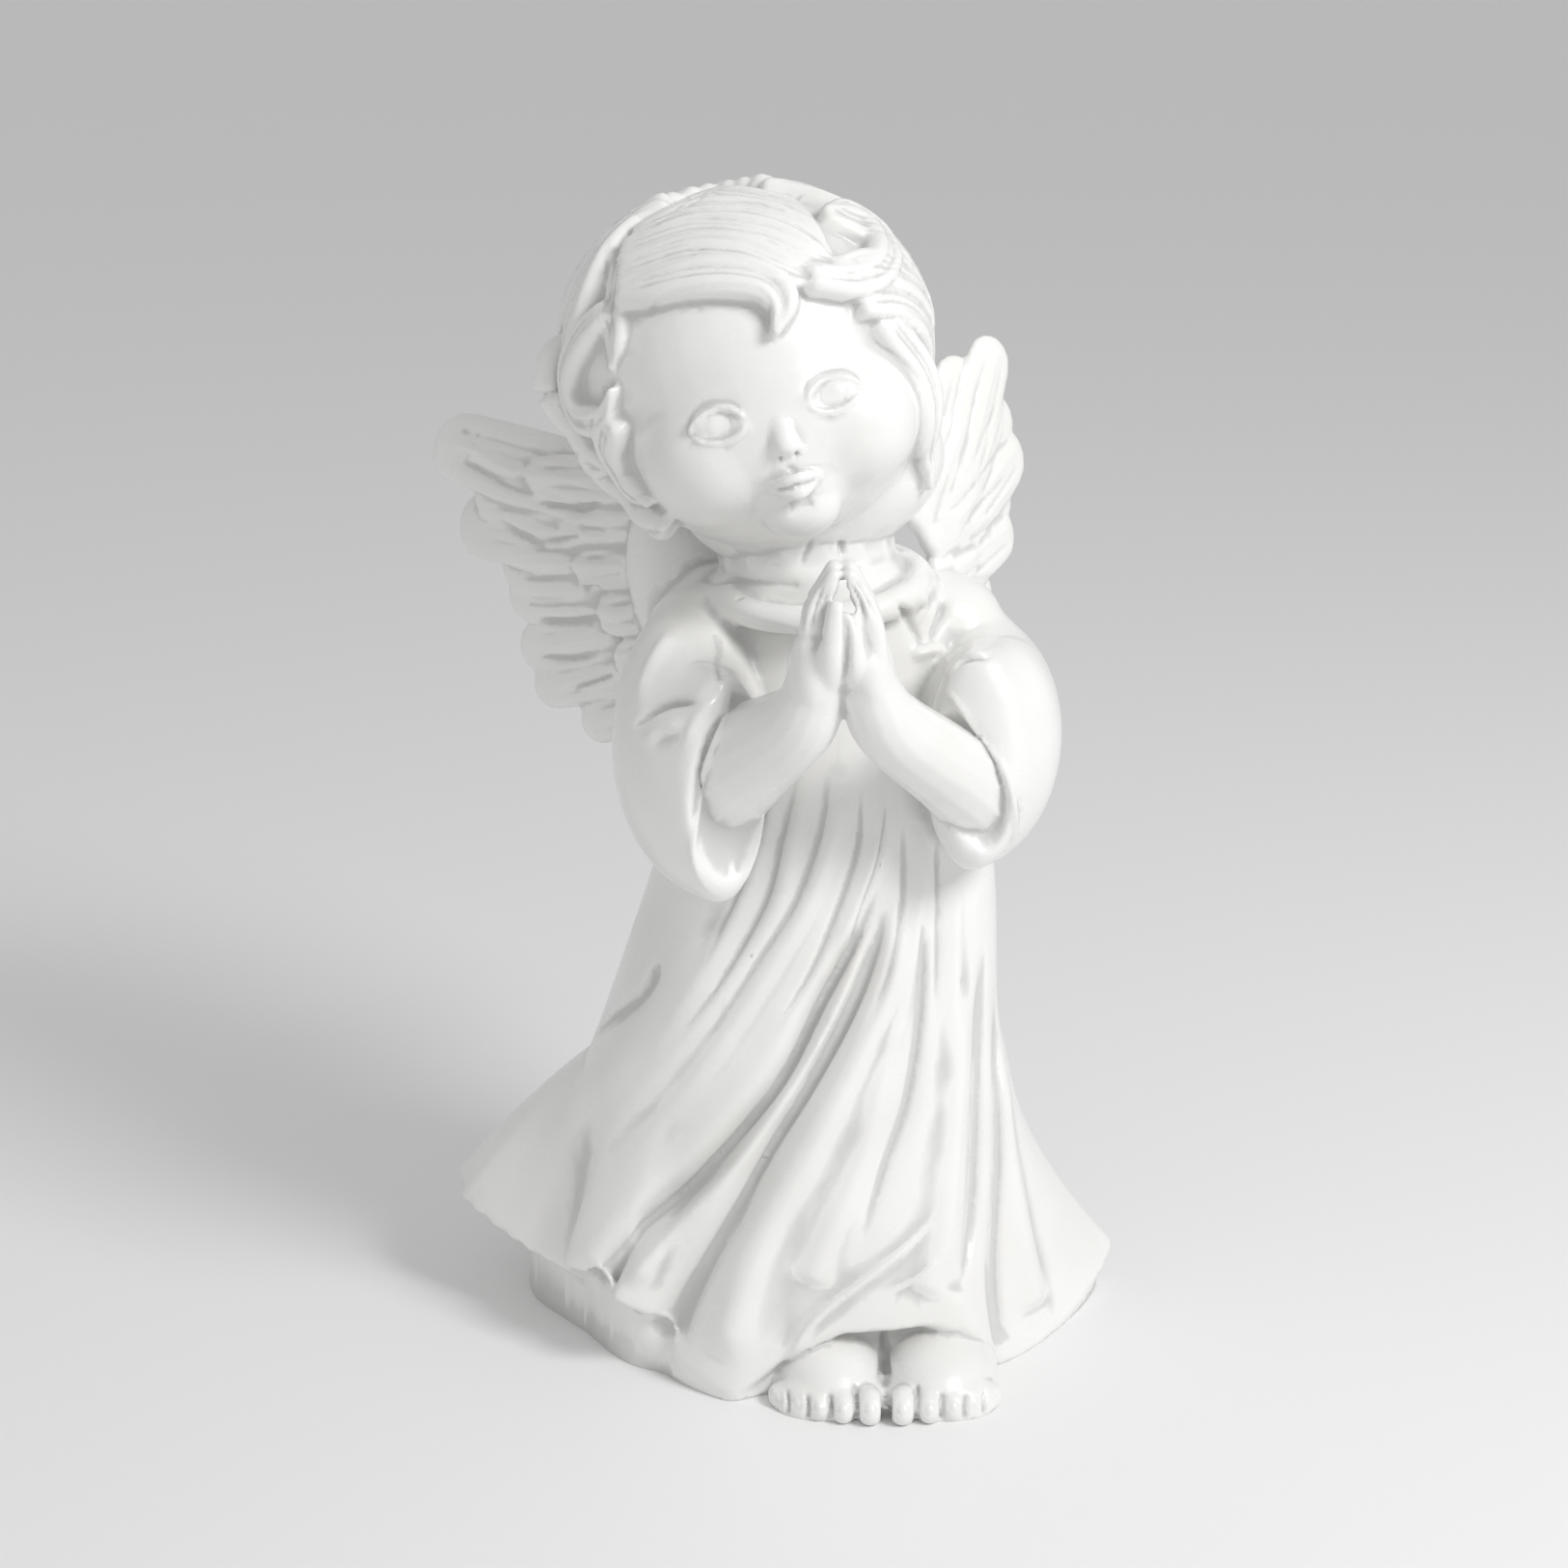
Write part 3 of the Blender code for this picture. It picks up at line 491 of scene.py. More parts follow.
# %% [markdown]
# ## Wings
#
# Flat feathers overlap like shingles, with a shorter layer of coverts on top of them.

# %% Wings
# A feather: base, tip, half width.
LEFT_WING = (
    ((-20, 17, 142), (-61.5, 28, 153), 7.4),
    ((-20, 17, 139), (-54.5, 26.5, 145.5), 7.0),
    ((-20, 17, 136), (-57.5, 27, 138.5), 7.4),
    ((-19, 16.5, 133), (-50, 25.5, 131), 6.4),
    ((-18, 16, 130), (-49, 25.5, 125.5), 6.2),
    ((-16, 15, 123), (-47, 24, 116), 5.6),
    ((-15, 14, 117), (-44.5, 22, 109.5), 5.2),
    ((-13, 14, 112), (-36, 18.5, 103.5), 5.0),
)
LEFT_COVERTS = (
    ((-17, 13.5, 148), (-45, 21.5, 147.5), 4.6),
    ((-17, 13.0, 143), (-40, 20.5, 140.0), 4.8),
    ((-16, 12.6, 136), (-37, 19.0, 131.5), 4.6),
    ((-15, 12, 128), (-33, 17.0, 123.5), 4.4),
    ((-13, 11, 121), (-30, 15.0, 116), 4.0),
)
RIGHT_WING = (
    ((24, 14, 141), (30.5, 26, 168), 6.8),
    ((28, 16, 140), (36.5, 31, 170.5), 6.4),
    ((28, 17, 139.5), (38, 32, 160), 7.0),
    ((28, 17, 139), (41.2, 34, 152), 7.2),
    ((28, 17, 135), (39, 32, 145), 6.6),
    ((27, 16, 132), (40.2, 31, 137.5), 6.6),
    ((26, 15, 126), (36.5, 27, 126.5), 6.0),
)
RIGHT_COVERTS = (
    ((23, 12.5, 142), (30, 22, 158), 5.4),
    ((25, 13.0, 138), (34, 24, 146), 5.2),
    ((26, 12.5, 132), (33.5, 22, 134), 4.8),
)
FEATHER_THICKNESS = 2.0
LEFT_WING_FACES, RIGHT_WING_FACES = (0.2, -1, 0.25), (0.75, -0.65, 0.2)
def feather(clay, base, tip, width, up):
    """A flat round-ended feather."""
    base, tip = np.array(base, float), np.array(tip, float)
    span = tip - base
    end = tip - span / np.linalg.norm(span) * width * 0.8
    t = FEATHER_THICKNESS
    rows = ((*base, width * 0.8, t), (*(base + end) / 2, width, t), (*end, width * 0.88, t * 0.8))
    sweep(clay, rows, up=up, steps=14, sides=16, ends=(0.5, 0.85))


def wings():
    """Two wings of overlapping feathers; the left one is seen broadside."""
    clay = bmesh.new()
    for feathers, up in (
        (LEFT_WING + LEFT_COVERTS, LEFT_WING_FACES),
        (RIGHT_WING + RIGHT_COVERTS, RIGHT_WING_FACES),
    ):
        for base, tip, width in feathers:
            feather(clay, base, tip, width, up)
    ball(clay, (-17, 12, 128), (9, 6, 18), (0, -18, 0))
    return fused(clay, "wings", FINE_GRAIN, 1)

# %% [markdown]
# ## The head
#
# It is the head of a doll: a round skull, full cheeks and small features on a small child's proportions,
# with the eyes below the middle and one eye's width apart. It tilts to one side and looks up a little.
# The hair parts at the left and sweeps over the brow to a forelock.

# %% Hair
# A lock of hair: (azimuth, elevation) points on the head, half width, thickness, lift, strands.
LOCKS = (
    ((-66, 64), (-25, 82), (20, 80), (48, 62), (44, 42), 5.0, 2.0, 0.0, 3),
    ((-60, 58), (-22, 67), (18, 60), (34, 44), (37, 30), 4.6, 2.2, 0.4, 3),
    ((-55, 50), (-16, 54), (13, 44), (27, 31), (35, 23), 4.4, 2.4, 1.0, 3),
    ((-50, 42), (-20, 45), (2, 39), (15, 29), (25, 21), 4.0, 2.4, 1.0, 3),
    ((-46, 34), (-22, 35), (-4, 32), (8, 26), (11, 18), (6, 10), 3.6, 2.6, 1.4, 2),
    ((24, 23), (42, 18), (60, 22), (76, 34), (72, 44), (56, 46), 3.4, 2.6, 1.6, 2),
    ((60, 46), (70, 34), (78, 20), (82, 4), (84, -10), 4.6, 2.4, 0.6, 3),
    ((34, 22), (52, 20), (72, 12), (82, 0), (86, -16), 4.2, 2.6, 1.0, 3),
    ((39, 12), (56, 8), (72, -2), (80, -14), (84, -30), 3.8, 2.6, 0.8, 3),
    ((46, 4), (56, -9), (62, -22), (66, -36), (72, -50), 3.6, 2.6, 0.6, 2),
    ((110, 70), (97, 48), (95, 22), (98, -6), (98, -34), 5.0, 2.6, 0.6, 3),
    ((-112, 74), (-100, 54), (-95, 38), (-94, 20), 4.8, 2.2, 0.4, 3),
    ((-86, 64), (-76, 46), (-73, 32), (-80, 17), 4.4, 2.4, 0.8, 3),
    ((-66, 58), (-55, 40), (-51, 24), (-54, 12), 2.6, 1.6, 0.0, 2),
    ((-54, 30), (-66, 23), (-78, 11), (-76, 0), (-62, -2), (-53, 6), 3.0, 2.4, 0.8, 2),
    ((-94, 16), (-92, 0), (-88, -14), (-76, -18), 3.6, 2.6, 0.8, 2),
    ((-58, -4), (-68, -13), (-68, -24), (-56, -30), 3.4, 2.6, 0.8, 2),
    ((-92, -12), (-90, -26), (-78, -36), (-64, -38), (-52, -36), 3.8, 3.0, 1.6, 2),
    ((-110, 20), (-106, -4), (-104, -26), (-92, -44), 4.6, 2.8, 0.8, 3),
)
# A dished curl that stands out at the left like an ear.
OUTER_CURL = (
    (-26.5, 4, 13.5, 2.2),
    (-31, 3, 14, 2.4),
    (-34, 3, 9.5, 2.6),
    (-33, 3, 3.5, 2.4),
    (-29.5, 3, -1, 2.4),
    (-26.5, 4, -3, 2.2),
)
# The back of the hair: the azimuth of each wavy lock, how far it sways, and how far it stands out.
BACK_LOCKS = (125, 145, 165, 185, 205, 225, 245)
BACK_SWAY = 6
BACK_LIFTS = (0.4, 1.2)

# The hands meet at this x; the finger tips' heights run from the first finger to the last.
HANDS_MEET = 8.8
FINGER_TIPS = (145.6, 146.2, 145.6, 144.0)
FOREARMS = (
    ((-12, -19, 103, 9), (-5.6, -29, 112.5, 8.4), (2.0, -38.5, 120.5, 6.3), (4.8, -42, 127, 4.8)),
    ((33, -18, 101, 7.5), (26, -28, 110, 7), (16.5, -38, 120, 6.0), (13.2, -42, 127, 4.8)),
)
THUMBS = (
    ((6.4, -43.0, 127, 2.6), (7.2, -47.0, 134, 2.2), (7.9, -47.0, 141, 1.6)),
    ((11.3, -42.8, 127, 2.4), (10.6, -46.4, 133, 2.0), (10.0, -46.3, 139.2, 1.5)),
)
def lock(clay, tree, points, width, depth, lift, strands):
    """A lock of hair: a bundle of tapering strands that follows the head."""
    outward, spine = [], []
    for azimuth, elevation in smooth_row(points, 14):
        a, e = math.radians(azimuth), math.radians(elevation)
        way = np.array((math.sin(a) * math.cos(e), -math.cos(a) * math.cos(e), math.sin(e)))
        outward.append(way)
        spine.append(hit_point(tree, way * 90 + HAIR_CENTRE, -way) + way * lift)
    outward, spine = np.array(outward), np.array(spine)
    across = np.cross(np.gradient(spine, axis=0), outward)
    across /= np.linalg.norm(across, axis=1)[:, None]
    share = np.linspace(0, 1, len(spine))
    taper = 0.55 + 0.45 * np.sin(np.pi * np.clip(share * 0.9 + 0.12, 0, 1))
    taper *= np.clip((1.12 - share) / 0.35, 0.3, 1)
    for k in range(round(strands)):
        aside = (2 * k - strands + 1) * width / strands * 0.92
        path = spine + across * (aside * taper)[:, None]
        strand = width / strands * 1.25 * taper
        rows = np.column_stack([path, strand, depth * (0.6 + 0.4 * taper)])
        sweep(clay, rows, up=outward, steps=26, sides=12, ends=(0.8, 1.6))


def hair(clay, tree):
    """The locks: a parting at the left, a sweep over the brow with a forelock, curls at the sides."""
    for *points, width, depth, lift, strands in LOCKS:
        lock(clay, tree, points, width, depth, lift, strands)
    for i, azimuth in enumerate(BACK_LOCKS):
        turns = (azimuth + sway for sway in (-BACK_SWAY, BACK_SWAY, -BACK_SWAY, BACK_SWAY, 0))
        lift = BACK_LIFTS[i % len(BACK_LIFTS)]
        lock(clay, tree, tuple(zip(turns, (72, 48, 18, -12, -36))), 6.6, 2.6, lift, 3)

# %% Head
# The head turns in its own frame: x to the viewer's right, -y out of the face, z to the crown.
HEAD_CENTRE = (-3.6, -2.0, 168.0)
HEAD_TURN = (-8, -15, 5)
HAIR_CENTRE = (0, 4, 3)
EYE_APART = 9.4
EYE_HEIGHT = -3.4

UPPER_LIP = (
    (-3.8, -24.4, -15.1, 0.6),
    (-1.2, -26.0, -14.5, 1.0),
    (1.2, -26.0, -14.5, 1.0),
    (3.8, -24.4, -15.1, 0.6),
)
LOWER_LIP = ((-2.7, -24.8, -16.1, 0.7), (0, -25.8, -16.8, 1.2), (2.7, -24.8, -16.1, 0.7))
NOSE = ((0, -21.8, 0.5, 1.7), (0, -23.8, -4.5, 1.9), (0, -25.7, -8.6, 2.2))
def head_frame():
    """Where the head's own frame lies: nodded, tilted to one side, then turned."""
    nod, tilt, yaw = (math.radians(angle) for angle in HEAD_TURN)
    turned = Matrix.Rotation(yaw, 4, "Z") @ Matrix.Rotation(tilt, 4, "Y") @ Matrix.Rotation(nod, 4, "X")
    return Matrix.Translation(Vector(HEAD_CENTRE) * MM) @ turned
def head():
    """A small child's round head: full cheeks, small features, and the hair over it."""
    clay = bmesh.new()
    ball(clay, (-0.6, 5, 5), (28.2, 29, 24.6))
    ball(clay, (-2.4, 7, 5.5), (28.8, 29, 25.6))
    ball(clay, (0, -3, -6), (25, 23, 20))
    for side in (-1, 1):
        ball(clay, (side * 9.5, -11, -8.5), (13.5, 13.5, 12.5))
    ball(clay, (0, -15, -14), (9.5, 10, 10))
    ball(clay, (4, 6, -17), (23, 16, 15))
    skull = fused(clay, "skull", FUSE_GRAIN, 25)
    tree = tree_of(skull)
    clay = gathered(skull)
    sweep(clay, NOSE, up=FRONT)
    for side in (-1, 1):
        ball(clay, (side * 1.8, -24.6, -9.6), (1.3, 1.5, 1.2))
        ball(clay, (side * EYE_APART, -20.4, EYE_HEIGHT), (5.2, 4, 3.8))
    for lip in (UPPER_LIP, LOWER_LIP):
        sweep(clay, lip)
    ball(clay, (0, -18.8, -19.6), (6.5, 5.2, 5))
    hair(clay, tree)
    sweep(clay, OUTER_CURL)
    ball(clay, (-28.5, 5, 5.5), (5, 2.6, 7))
    made = fused(clay, "head", FINE_GRAIN, 3)
    made.data.transform(head_frame())
    return made

# %% [markdown]
# ## Hands and feet

# %% Hands
def hands():
    """Forearms that come out of the sleeves, and the hands pressed together."""
    clay = bmesh.new()
    for form in FOREARMS + THUMBS:
        sweep(clay, form)
    ball(clay, (4.6, -41, 130), (4.4, 6.5, 8), (0, 10, 0))
    ball(clay, (13.0, -41, 130), (4.2, 6.5, 8), (0, -12, 0))
    for i, tip in enumerate(FINGER_TIPS):
        y, spread = -44.2 + i * 3.1, 2.4 - i * 0.6
        for side in (-1, 1):
            knuckle = HANDS_MEET + side * (4.7 + spread * 0.3)
            bend = HANDS_MEET + side * (4.0 + spread * 0.2)
            end = HANDS_MEET + side * 1.2
            sweep(clay, ((knuckle, y, 130, 2.1), (bend, y, 138.5, 1.9), (end, y, tip, 1.35)))
    return fused(clay, "hands", FINE_GRAIN, 1)

# %% Feet
# The widths and the heights of the toes, from the big one out.
TOES = ((5.0, 3.1), (4.4, 2.7), (4.0, 2.5), (3.5, 2.3), (3.1, 2.1))
def feet():
    """Two bare feet side by side under the hem."""
    clay = bmesh.new()
    for inner, side, turn in ((16.8, -1, 5), (17.2, 1, -7)):
        ball(clay, (inner + side * 9.6, -28, 1.5), (9.8, 14, 8.4), (0, 0, turn))
        ball(clay, (inner + side * 9.4, -35.5, 1), (9.6, 7, 5.2), (0, 0, turn))
        x = inner
        for i, (width, height) in enumerate(TOES):
            centre = (x + side * width / 2, -41.2 + 0.3 * i * i, height * 0.75)
            ball(clay, centre, (width * 0.53, width * 0.85, height), (0, 0, side * -4 * i))
            x += side * width * 0.97
    return fused(clay, "feet", FINE_GRAIN, 1)

# %% [markdown]
# ## One casting
#
# All the forms are fused into one skin. What follows is carved in that skin, so a line can run from one
# form to the next as it does on a cast.

# %% Cast
cast = fused(gathered(body(), wings(), head(), hands(), feet()), "angel_cast", WHOLE_GRAIN, 1)
points, normals = points_and_normals(cast)
surface = tree_of(cast)
print("fused", len(points), "points")

# %% [markdown]
# ## Lines seen from the front
#
# Creases, rims and the gaps between fingers, each as (x, z) points, a width and a height in millimetres.

# %% Fine lines
LINE_ENDS = (0.3, 0.35)
HAND_LINES = (
    ((8.2, 146.4), (9.1, 144.1), (9.5, 138.8), (9.4, 132.8), (8.8, 129.1), 0.55, -1.0),
    ((5.0, 144.5), (3.1, 140.5), (2.2, 136.0), 0.45, -0.6),
    ((6.0, 144.9), (4.7, 141.2), (3.8, 135.4), 0.45, -0.6),
    ((6.9, 144.7), (5.8, 140.5), (5.5, 135.0), 0.45, -0.6),
    ((10.0, 146.1), (12.4, 143.2), (14.4, 138.0), 0.45, -0.6),
    ((9.6, 145.3), (11.3, 142.4), (12.8, 137.6), 0.45, -0.6),
    ((9.2, 144.7), (10.2, 141.2), (11.3, 136.8), 0.45, -0.6),
)
SLEEVE_LINES = (
    ((-25.1, 115.6), (-21.3, 119.4), (-17.3, 121.6), (-13.1, 122.6), 0.8, -1.5),
    ((-23.5, 113.5), (-19.5, 117.3), (-15.0, 119.3), 1.3, 0.9),
    ((-10.8, 123.4), (-13.9, 120.1), (-16.5, 114.8), 0.9, 0.7),
    ((-17.9, 130.4), (-22.0, 124.6), (-24.4, 118.0), 1.8, 0.9),
    ((-11.2, 128.5), (-10.1, 125.2), 0.8, -0.9),
    ((-9.1, 125.6), (-9.2, 121.0), (-11.2, 115.8), (-13.0, 110.4), (-14.3, 103.7), (-14.8, 97.0), (-13.0, 91.6), (-9.6, 88.6), 0.6, 0.7),
    ((34.2, 127.8), (29.5, 127.3), (27.0, 125.5), 0.7, -1.2),
    ((23.1, 125.2), (20.3, 130.5), (18.5, 135.2), 0.8, -1.2),
    ((23.9, 125.7), (25.8, 129.2), (26.8, 132.4), 0.8, -1.2),
    ((22.8, 128.6), (23.0, 132.0), (22.8, 135.0), 1.0, 0.7),
    ((20.3, 124.2), (23.6, 124.6), (27.2, 124.2), 0.8, 1.0),
    ((24.9, 122.4), (27.6, 120.4), (31.8, 115.0), (35.6, 109.2), (37.4, 101.0), (36.8, 94.5), (33.0, 91.6), 0.6, 0.7),
)
COLLAR_LINES = (
    ((-16.0, 133.4), (-8.4, 135.4), (0.4, 136.2), (8.0, 136.5), 0.6, -0.4),
    ((-10.0, 131.6), (-3.5, 130.6), (2.0, 130.4), 0.7, -0.4),
)
ROBE_LINES = (
    ((15.9, 89.1), (13.0, 79.7), (9.9, 73.3), (6.2, 66.4), (0.9, 55.5), (-3.8, 48.4), (-11.5, 39), (-19.4, 29.9), (-28.1, 22.2), (-35.9, 12.1), 0.7, -1.1),
    ((17.4, 85.1), (14.9, 74.2), (10.8, 64.2), (4.6, 52.7), (-2.2, 41.6), (-7.6, 31.9), (-14.7, 19.8), (-20.3, 8.8), 0.7, -1.1),
    ((-1.8, 105.0), (-5.4, 92.0), (-8.2, 84.5), (-15.0, 70.0), 0.6, -0.5),
    ((2.6, 106.0), (-0.6, 94.5), (-3.4, 84.0), (-11.2, 70.0), (-21.0, 56.0), 0.6, -0.6),
    ((7.2, 106.0), (5.8, 96.0), (1.6, 84.5), (-4.8, 74.0), (-15.0, 57.0), 0.6, -0.6),
    ((12.6, 104.0), (12.2, 94.0), (8.6, 83.0), (3.6, 71.5), (-4.0, 60.0), 0.6, -0.8),
    ((16.9, 103.0), (16.0, 92.9), (12.2, 81.0), (10.4, 73.0), 0.5, -0.7),
    ((19.6, 98.0), (19.6, 84.0), (17.0, 72.0), (12.6, 61.0), 0.7, -0.6),
    ((25.2, 94.0), (25.8, 83.0), (25.2, 58.0), 0.7, -0.6),
    ((22.8, 89.3), (23.0, 66.8), (20.8, 50.0), (16.2, 36.9), (12.3, 24.0), 0.8, -0.8),
    ((34.2, 75.3), (33.3, 46.1), (32.1, 25.4), (29.5, 15.4), 0.8, -0.7),
    ((36.4, 63.5), (37.3, 36.7), (36.4, 14.3), (37.9, 2.5), 0.8, -0.7),
    ((-0.7, 5.7), (4.6, 14.1), (13.1, 20.7), (20.8, 25.7), (27.1, 30.8), 0.5, 0.6),
    ((17.0, 17.6), (22.4, 20.4), (27.1, 23.6), 0.45, 0.5),
    ((-20.9, 71.3), (-24.0, 64.4), (-30.7, 56.2), (-35.4, 48.0), 0.8, -0.7),
)
WING_LINES = (
    ((-57.7, 153.3), (-48.8, 148.9), (-41.9, 147.9), (-35.2, 148.8), 0.9, 0.5),
    ((-57.0, 150.7), (-52.2, 148.0), (-46.3, 145.3), (-38.0, 144.0), 0.7, -0.6),
    ((-52.5, 141.0), (-44.0, 136.4), (-40.3, 135.9), 0.8, -0.6),
    ((-44.6, 143.4), (-35.3, 142.7), (-31.0, 144.5), 0.6, -0.9),
    ((-42.3, 136.2), (-38.0, 137.0), (-34.5, 138.3), 0.6, -0.9),
    ((-35.6, 128.4), (-31.3, 129.0), 0.7, -1.0),
    ((-44.5, 121.7), (-37.5, 122.0), (-30.0, 123.9), 0.7, -1.1),
    ((-43.7, 115.5), (-37.6, 115.6), (-31.6, 117.1), 0.6, -0.9),
    ((-37.7, 110.2), (-32.5, 112.4), (-29.0, 114.0), 0.6, -0.9),
)

for *path, width, height in HAND_LINES + SLEEVE_LINES + COLLAR_LINES + ROBE_LINES + WING_LINES:
    path = front_path(surface, path, steps=48)
    points = stroke(points, normals, path, (width, width), (height, height), LINE_ENDS)
print("front lines carved")

# %% [markdown]
# ## Feather lines
#
# Every feather has a thin raised shaft and a groove along each side of it. The loop below takes them from
# the same rows that laid the feathers, so a feather that moves takes its lines along. The back of the
# wings gets the shafts alone.

# %% Feather lines
SHAFT_LINE, SIDE_GROOVES = (0.45, 0.22), (0.6, -0.26)
FEATHER_REACH = 6.0


def feather_path(base, tip, faces, aside):
    """Points on one face of a feather, beside its shaft."""
    base, tip = np.array(base, float), np.array(tip, float)
    out = np.array(faces, float) / np.linalg.norm(faces)
    across = np.cross(tip - base, out)
    across /= np.linalg.norm(across)
    path = []
    for share in np.linspace(0.25, 0.97, 16):
        middle = base + share * (tip - base) + across * aside * (1.15 - 0.4 * share)
        found = hit_point(surface, middle + out * FEATHER_REACH, -out)
        if found is not None and np.linalg.norm(found - middle) < FEATHER_REACH - 0.5:
            path.append(found)
    return path


carved = 0
for feathers, faces in ((LEFT_WING + LEFT_COVERTS, LEFT_WING_FACES), (RIGHT_WING + RIGHT_COVERTS, RIGHT_WING_FACES)):
    for base, tip, width in feathers:
        for side, aside, (line, height) in (
            (1, 0, SHAFT_LINE),
            (1, -0.45 * width, SIDE_GROOVES),
            (1, 0.45 * width, SIDE_GROOVES),
            (-1, 0, SHAFT_LINE),
        ):
            path = feather_path(base, tip, np.array(faces) * side, aside)
            if len(path) > 5:
                points = stroke(points, normals, path, (line, line), (height, height), (0.15, 0.3))
                carved += 1
print("feather lines", carved)

# %% [markdown]
# ## Strands of hair
#
# A lock is a bundle of strands. Fine grooves run along it, side by side, from its root to its tip. The
# rays start beside the lock's own middle line, so the grooves bend with it.

# %% Strands
STRAND_GAP = 1.35
STRAND_LINE, STRAND_DEPTH = 0.42, -0.30

to_head = np.array(head_frame())
turn_of_head, place_of_head = to_head[:3, :3], to_head[:3, 3] / MM


def strand_path(row, aside, steps=26):
    """A path on the hair beside the middle line of a lock."""
    ways = []
    for azimuth, elevation in smooth_row(row, steps):
        a, e = math.radians(azimuth), math.radians(elevation)
        ways.append((math.sin(a) * math.cos(e), -math.cos(a) * math.cos(e), math.sin(e)))
    ways = np.array(ways)
    across = np.cross(np.gradient(ways, axis=0), ways)
    across /= np.linalg.norm(across, axis=1)[:, None]
    narrowing = np.linspace(1, 0.55, steps)
    path = []
    for way, off in zip(ways, across * (aside * narrowing)[:, None]):
        start = turn_of_head @ (way * 60 + off + HAIR_CENTRE) + place_of_head
        found = hit_point(surface, start, turn_of_head @ -way)
        if found is not None:
            path.append(found)
    return path


carved = 0
back_rows = [
    ((azimuth - BACK_SWAY, 72), (azimuth + BACK_SWAY, 48), (azimuth - BACK_SWAY, 18), (azimuth + BACK_SWAY, -12))
    for azimuth in BACK_LOCKS
]
for row, width in [(lock_row[:-4], lock_row[-4]) for lock_row in LOCKS] + [(row, 6.6) for row in back_rows]:
    count = int(width * 0.85 / STRAND_GAP)
    for k in range(-count, count + 1):
        path = strand_path(row, (k + 0.5) * STRAND_GAP)
        depth = STRAND_DEPTH * (1, 0.45, 0.75)[k % 3]
        points = stroke(points, normals, path, (STRAND_LINE, STRAND_LINE), (depth, depth), (0.12, 0.12))
        carved += 1
print("strands", carved)

# %% [markdown]
# ## Toes
#
# A slit parts each toe from the next, a deeper one parts the feet, and every toe has a small nail.

# %% Toe lines
FEET_GAP = ((16.9, 0.6), (17.0, 5.0), (17.1, 9.5), 0.7, -1.7)
TOE_SLIT = (0.42, -0.9)
NAIL = (0.95, 1.0, 0.26, -0.22)

lines = [FEET_GAP]
for inner, side in ((16.8, -1), (17.2, 1)):
    x = inner
    for i, (width, height) in enumerate(TOES):
        middle, top = x + side * width / 2, height * 1.45
        nail = [
            (middle + NAIL[0] * math.sin(a) * width / 4.4, top * 0.8 + NAIL[1] * math.cos(a) * width / 4.4)
            for a in np.linspace(0, 2 * math.pi, 11)
        ]
        lines.append((*nail, NAIL[2], NAIL[3]))
        x += side * width * 0.97
        if i < len(TOES) - 1:
            lines.append(((x, 0.5), (x, height), (x + side * 0.2, height * 1.75), *TOE_SLIT))
for *path, width, height in lines:
    path = front_path(surface, path, steps=20)
    points = stroke(points, normals, path, (width, width), (height, height), (0.03, 0.2))
print("toe lines", len(lines))

# %% [markdown]
# ## The face
#
# The features are small strokes in the head's own frame. Each eye has a raised rim round an almond, a
# lid fold over it and a shallow iris. The mouth is a line between two lips.

# %% Face
LID = ((-4.6, -0.4), (-3.2, 1.6), (-0.8, 2.5), (1.8, 2.2), (3.8, 1.0), (4.7, -0.6))
UNDER_LID = ((-4.6, -0.4), (-3.0, -2.0), (-0.4, -2.7), (2.4, -2.2), (4.7, -0.6))
IRIS_RADIUS = 2.1

def on_face(row, steps=30):
    """A path on the face for (x, z) points in the head's own frame."""
    path = []
    for x, z in smooth_row(row, steps):
        start = turn_of_head @ (x, -60, z) + place_of_head
        found = hit_point(surface, start, turn_of_head @ (0, 1, 0))
        if found is not None:
            path.append(found)
    return path


def face_line(points, row, width, height, ends=(0.12, 0.12)):
    return stroke(points, normals, on_face(row), (width, width), (height, height), ends)


for side in (-1, 1):
    middle_x = side * EYE_APART
    lid = [(middle_x + side * x, EYE_HEIGHT + z) for x, z in LID]
    under = [(middle_x + side * x, EYE_HEIGHT + z) for x, z in UNDER_LID]
    points = face_line(points, lid, 0.42, 0.62)
    points = face_line(points, under, 0.4, 0.5)
    points = face_line(points, [(x, z + 1.3) for x, z in lid], 0.5, -0.18)
    around = np.linspace(0, 2 * math.pi, 13)
    iris = [(middle_x + IRIS_RADIUS * math.sin(a), EYE_HEIGHT + IRIS_RADIUS * math.cos(a)) for a in around]
    points = face_line(points, iris, 0.3, -0.12, (0.02, 0.02))
points = face_line(points, ((-4.0, -15.4), (-1.6, -15.7), (0, -15.5), (1.6, -15.7), (4.0, -15.4)), 0.4, -0.6)
points = face_line(points, ((-2.2, -18.9), (0, -19.2), (2.2, -18.9)), 1.0, -0.4)
points = face_line(points, ((0, -12.2), (0, -13.6)), 0.6, -0.4)
for side in (-1, 1):
    points = face_line(points, ((side * 1.0, -10.9), (side * 1.6, -10.8)), 0.45, -0.6, (0.02, 0.02))
print("face carved")

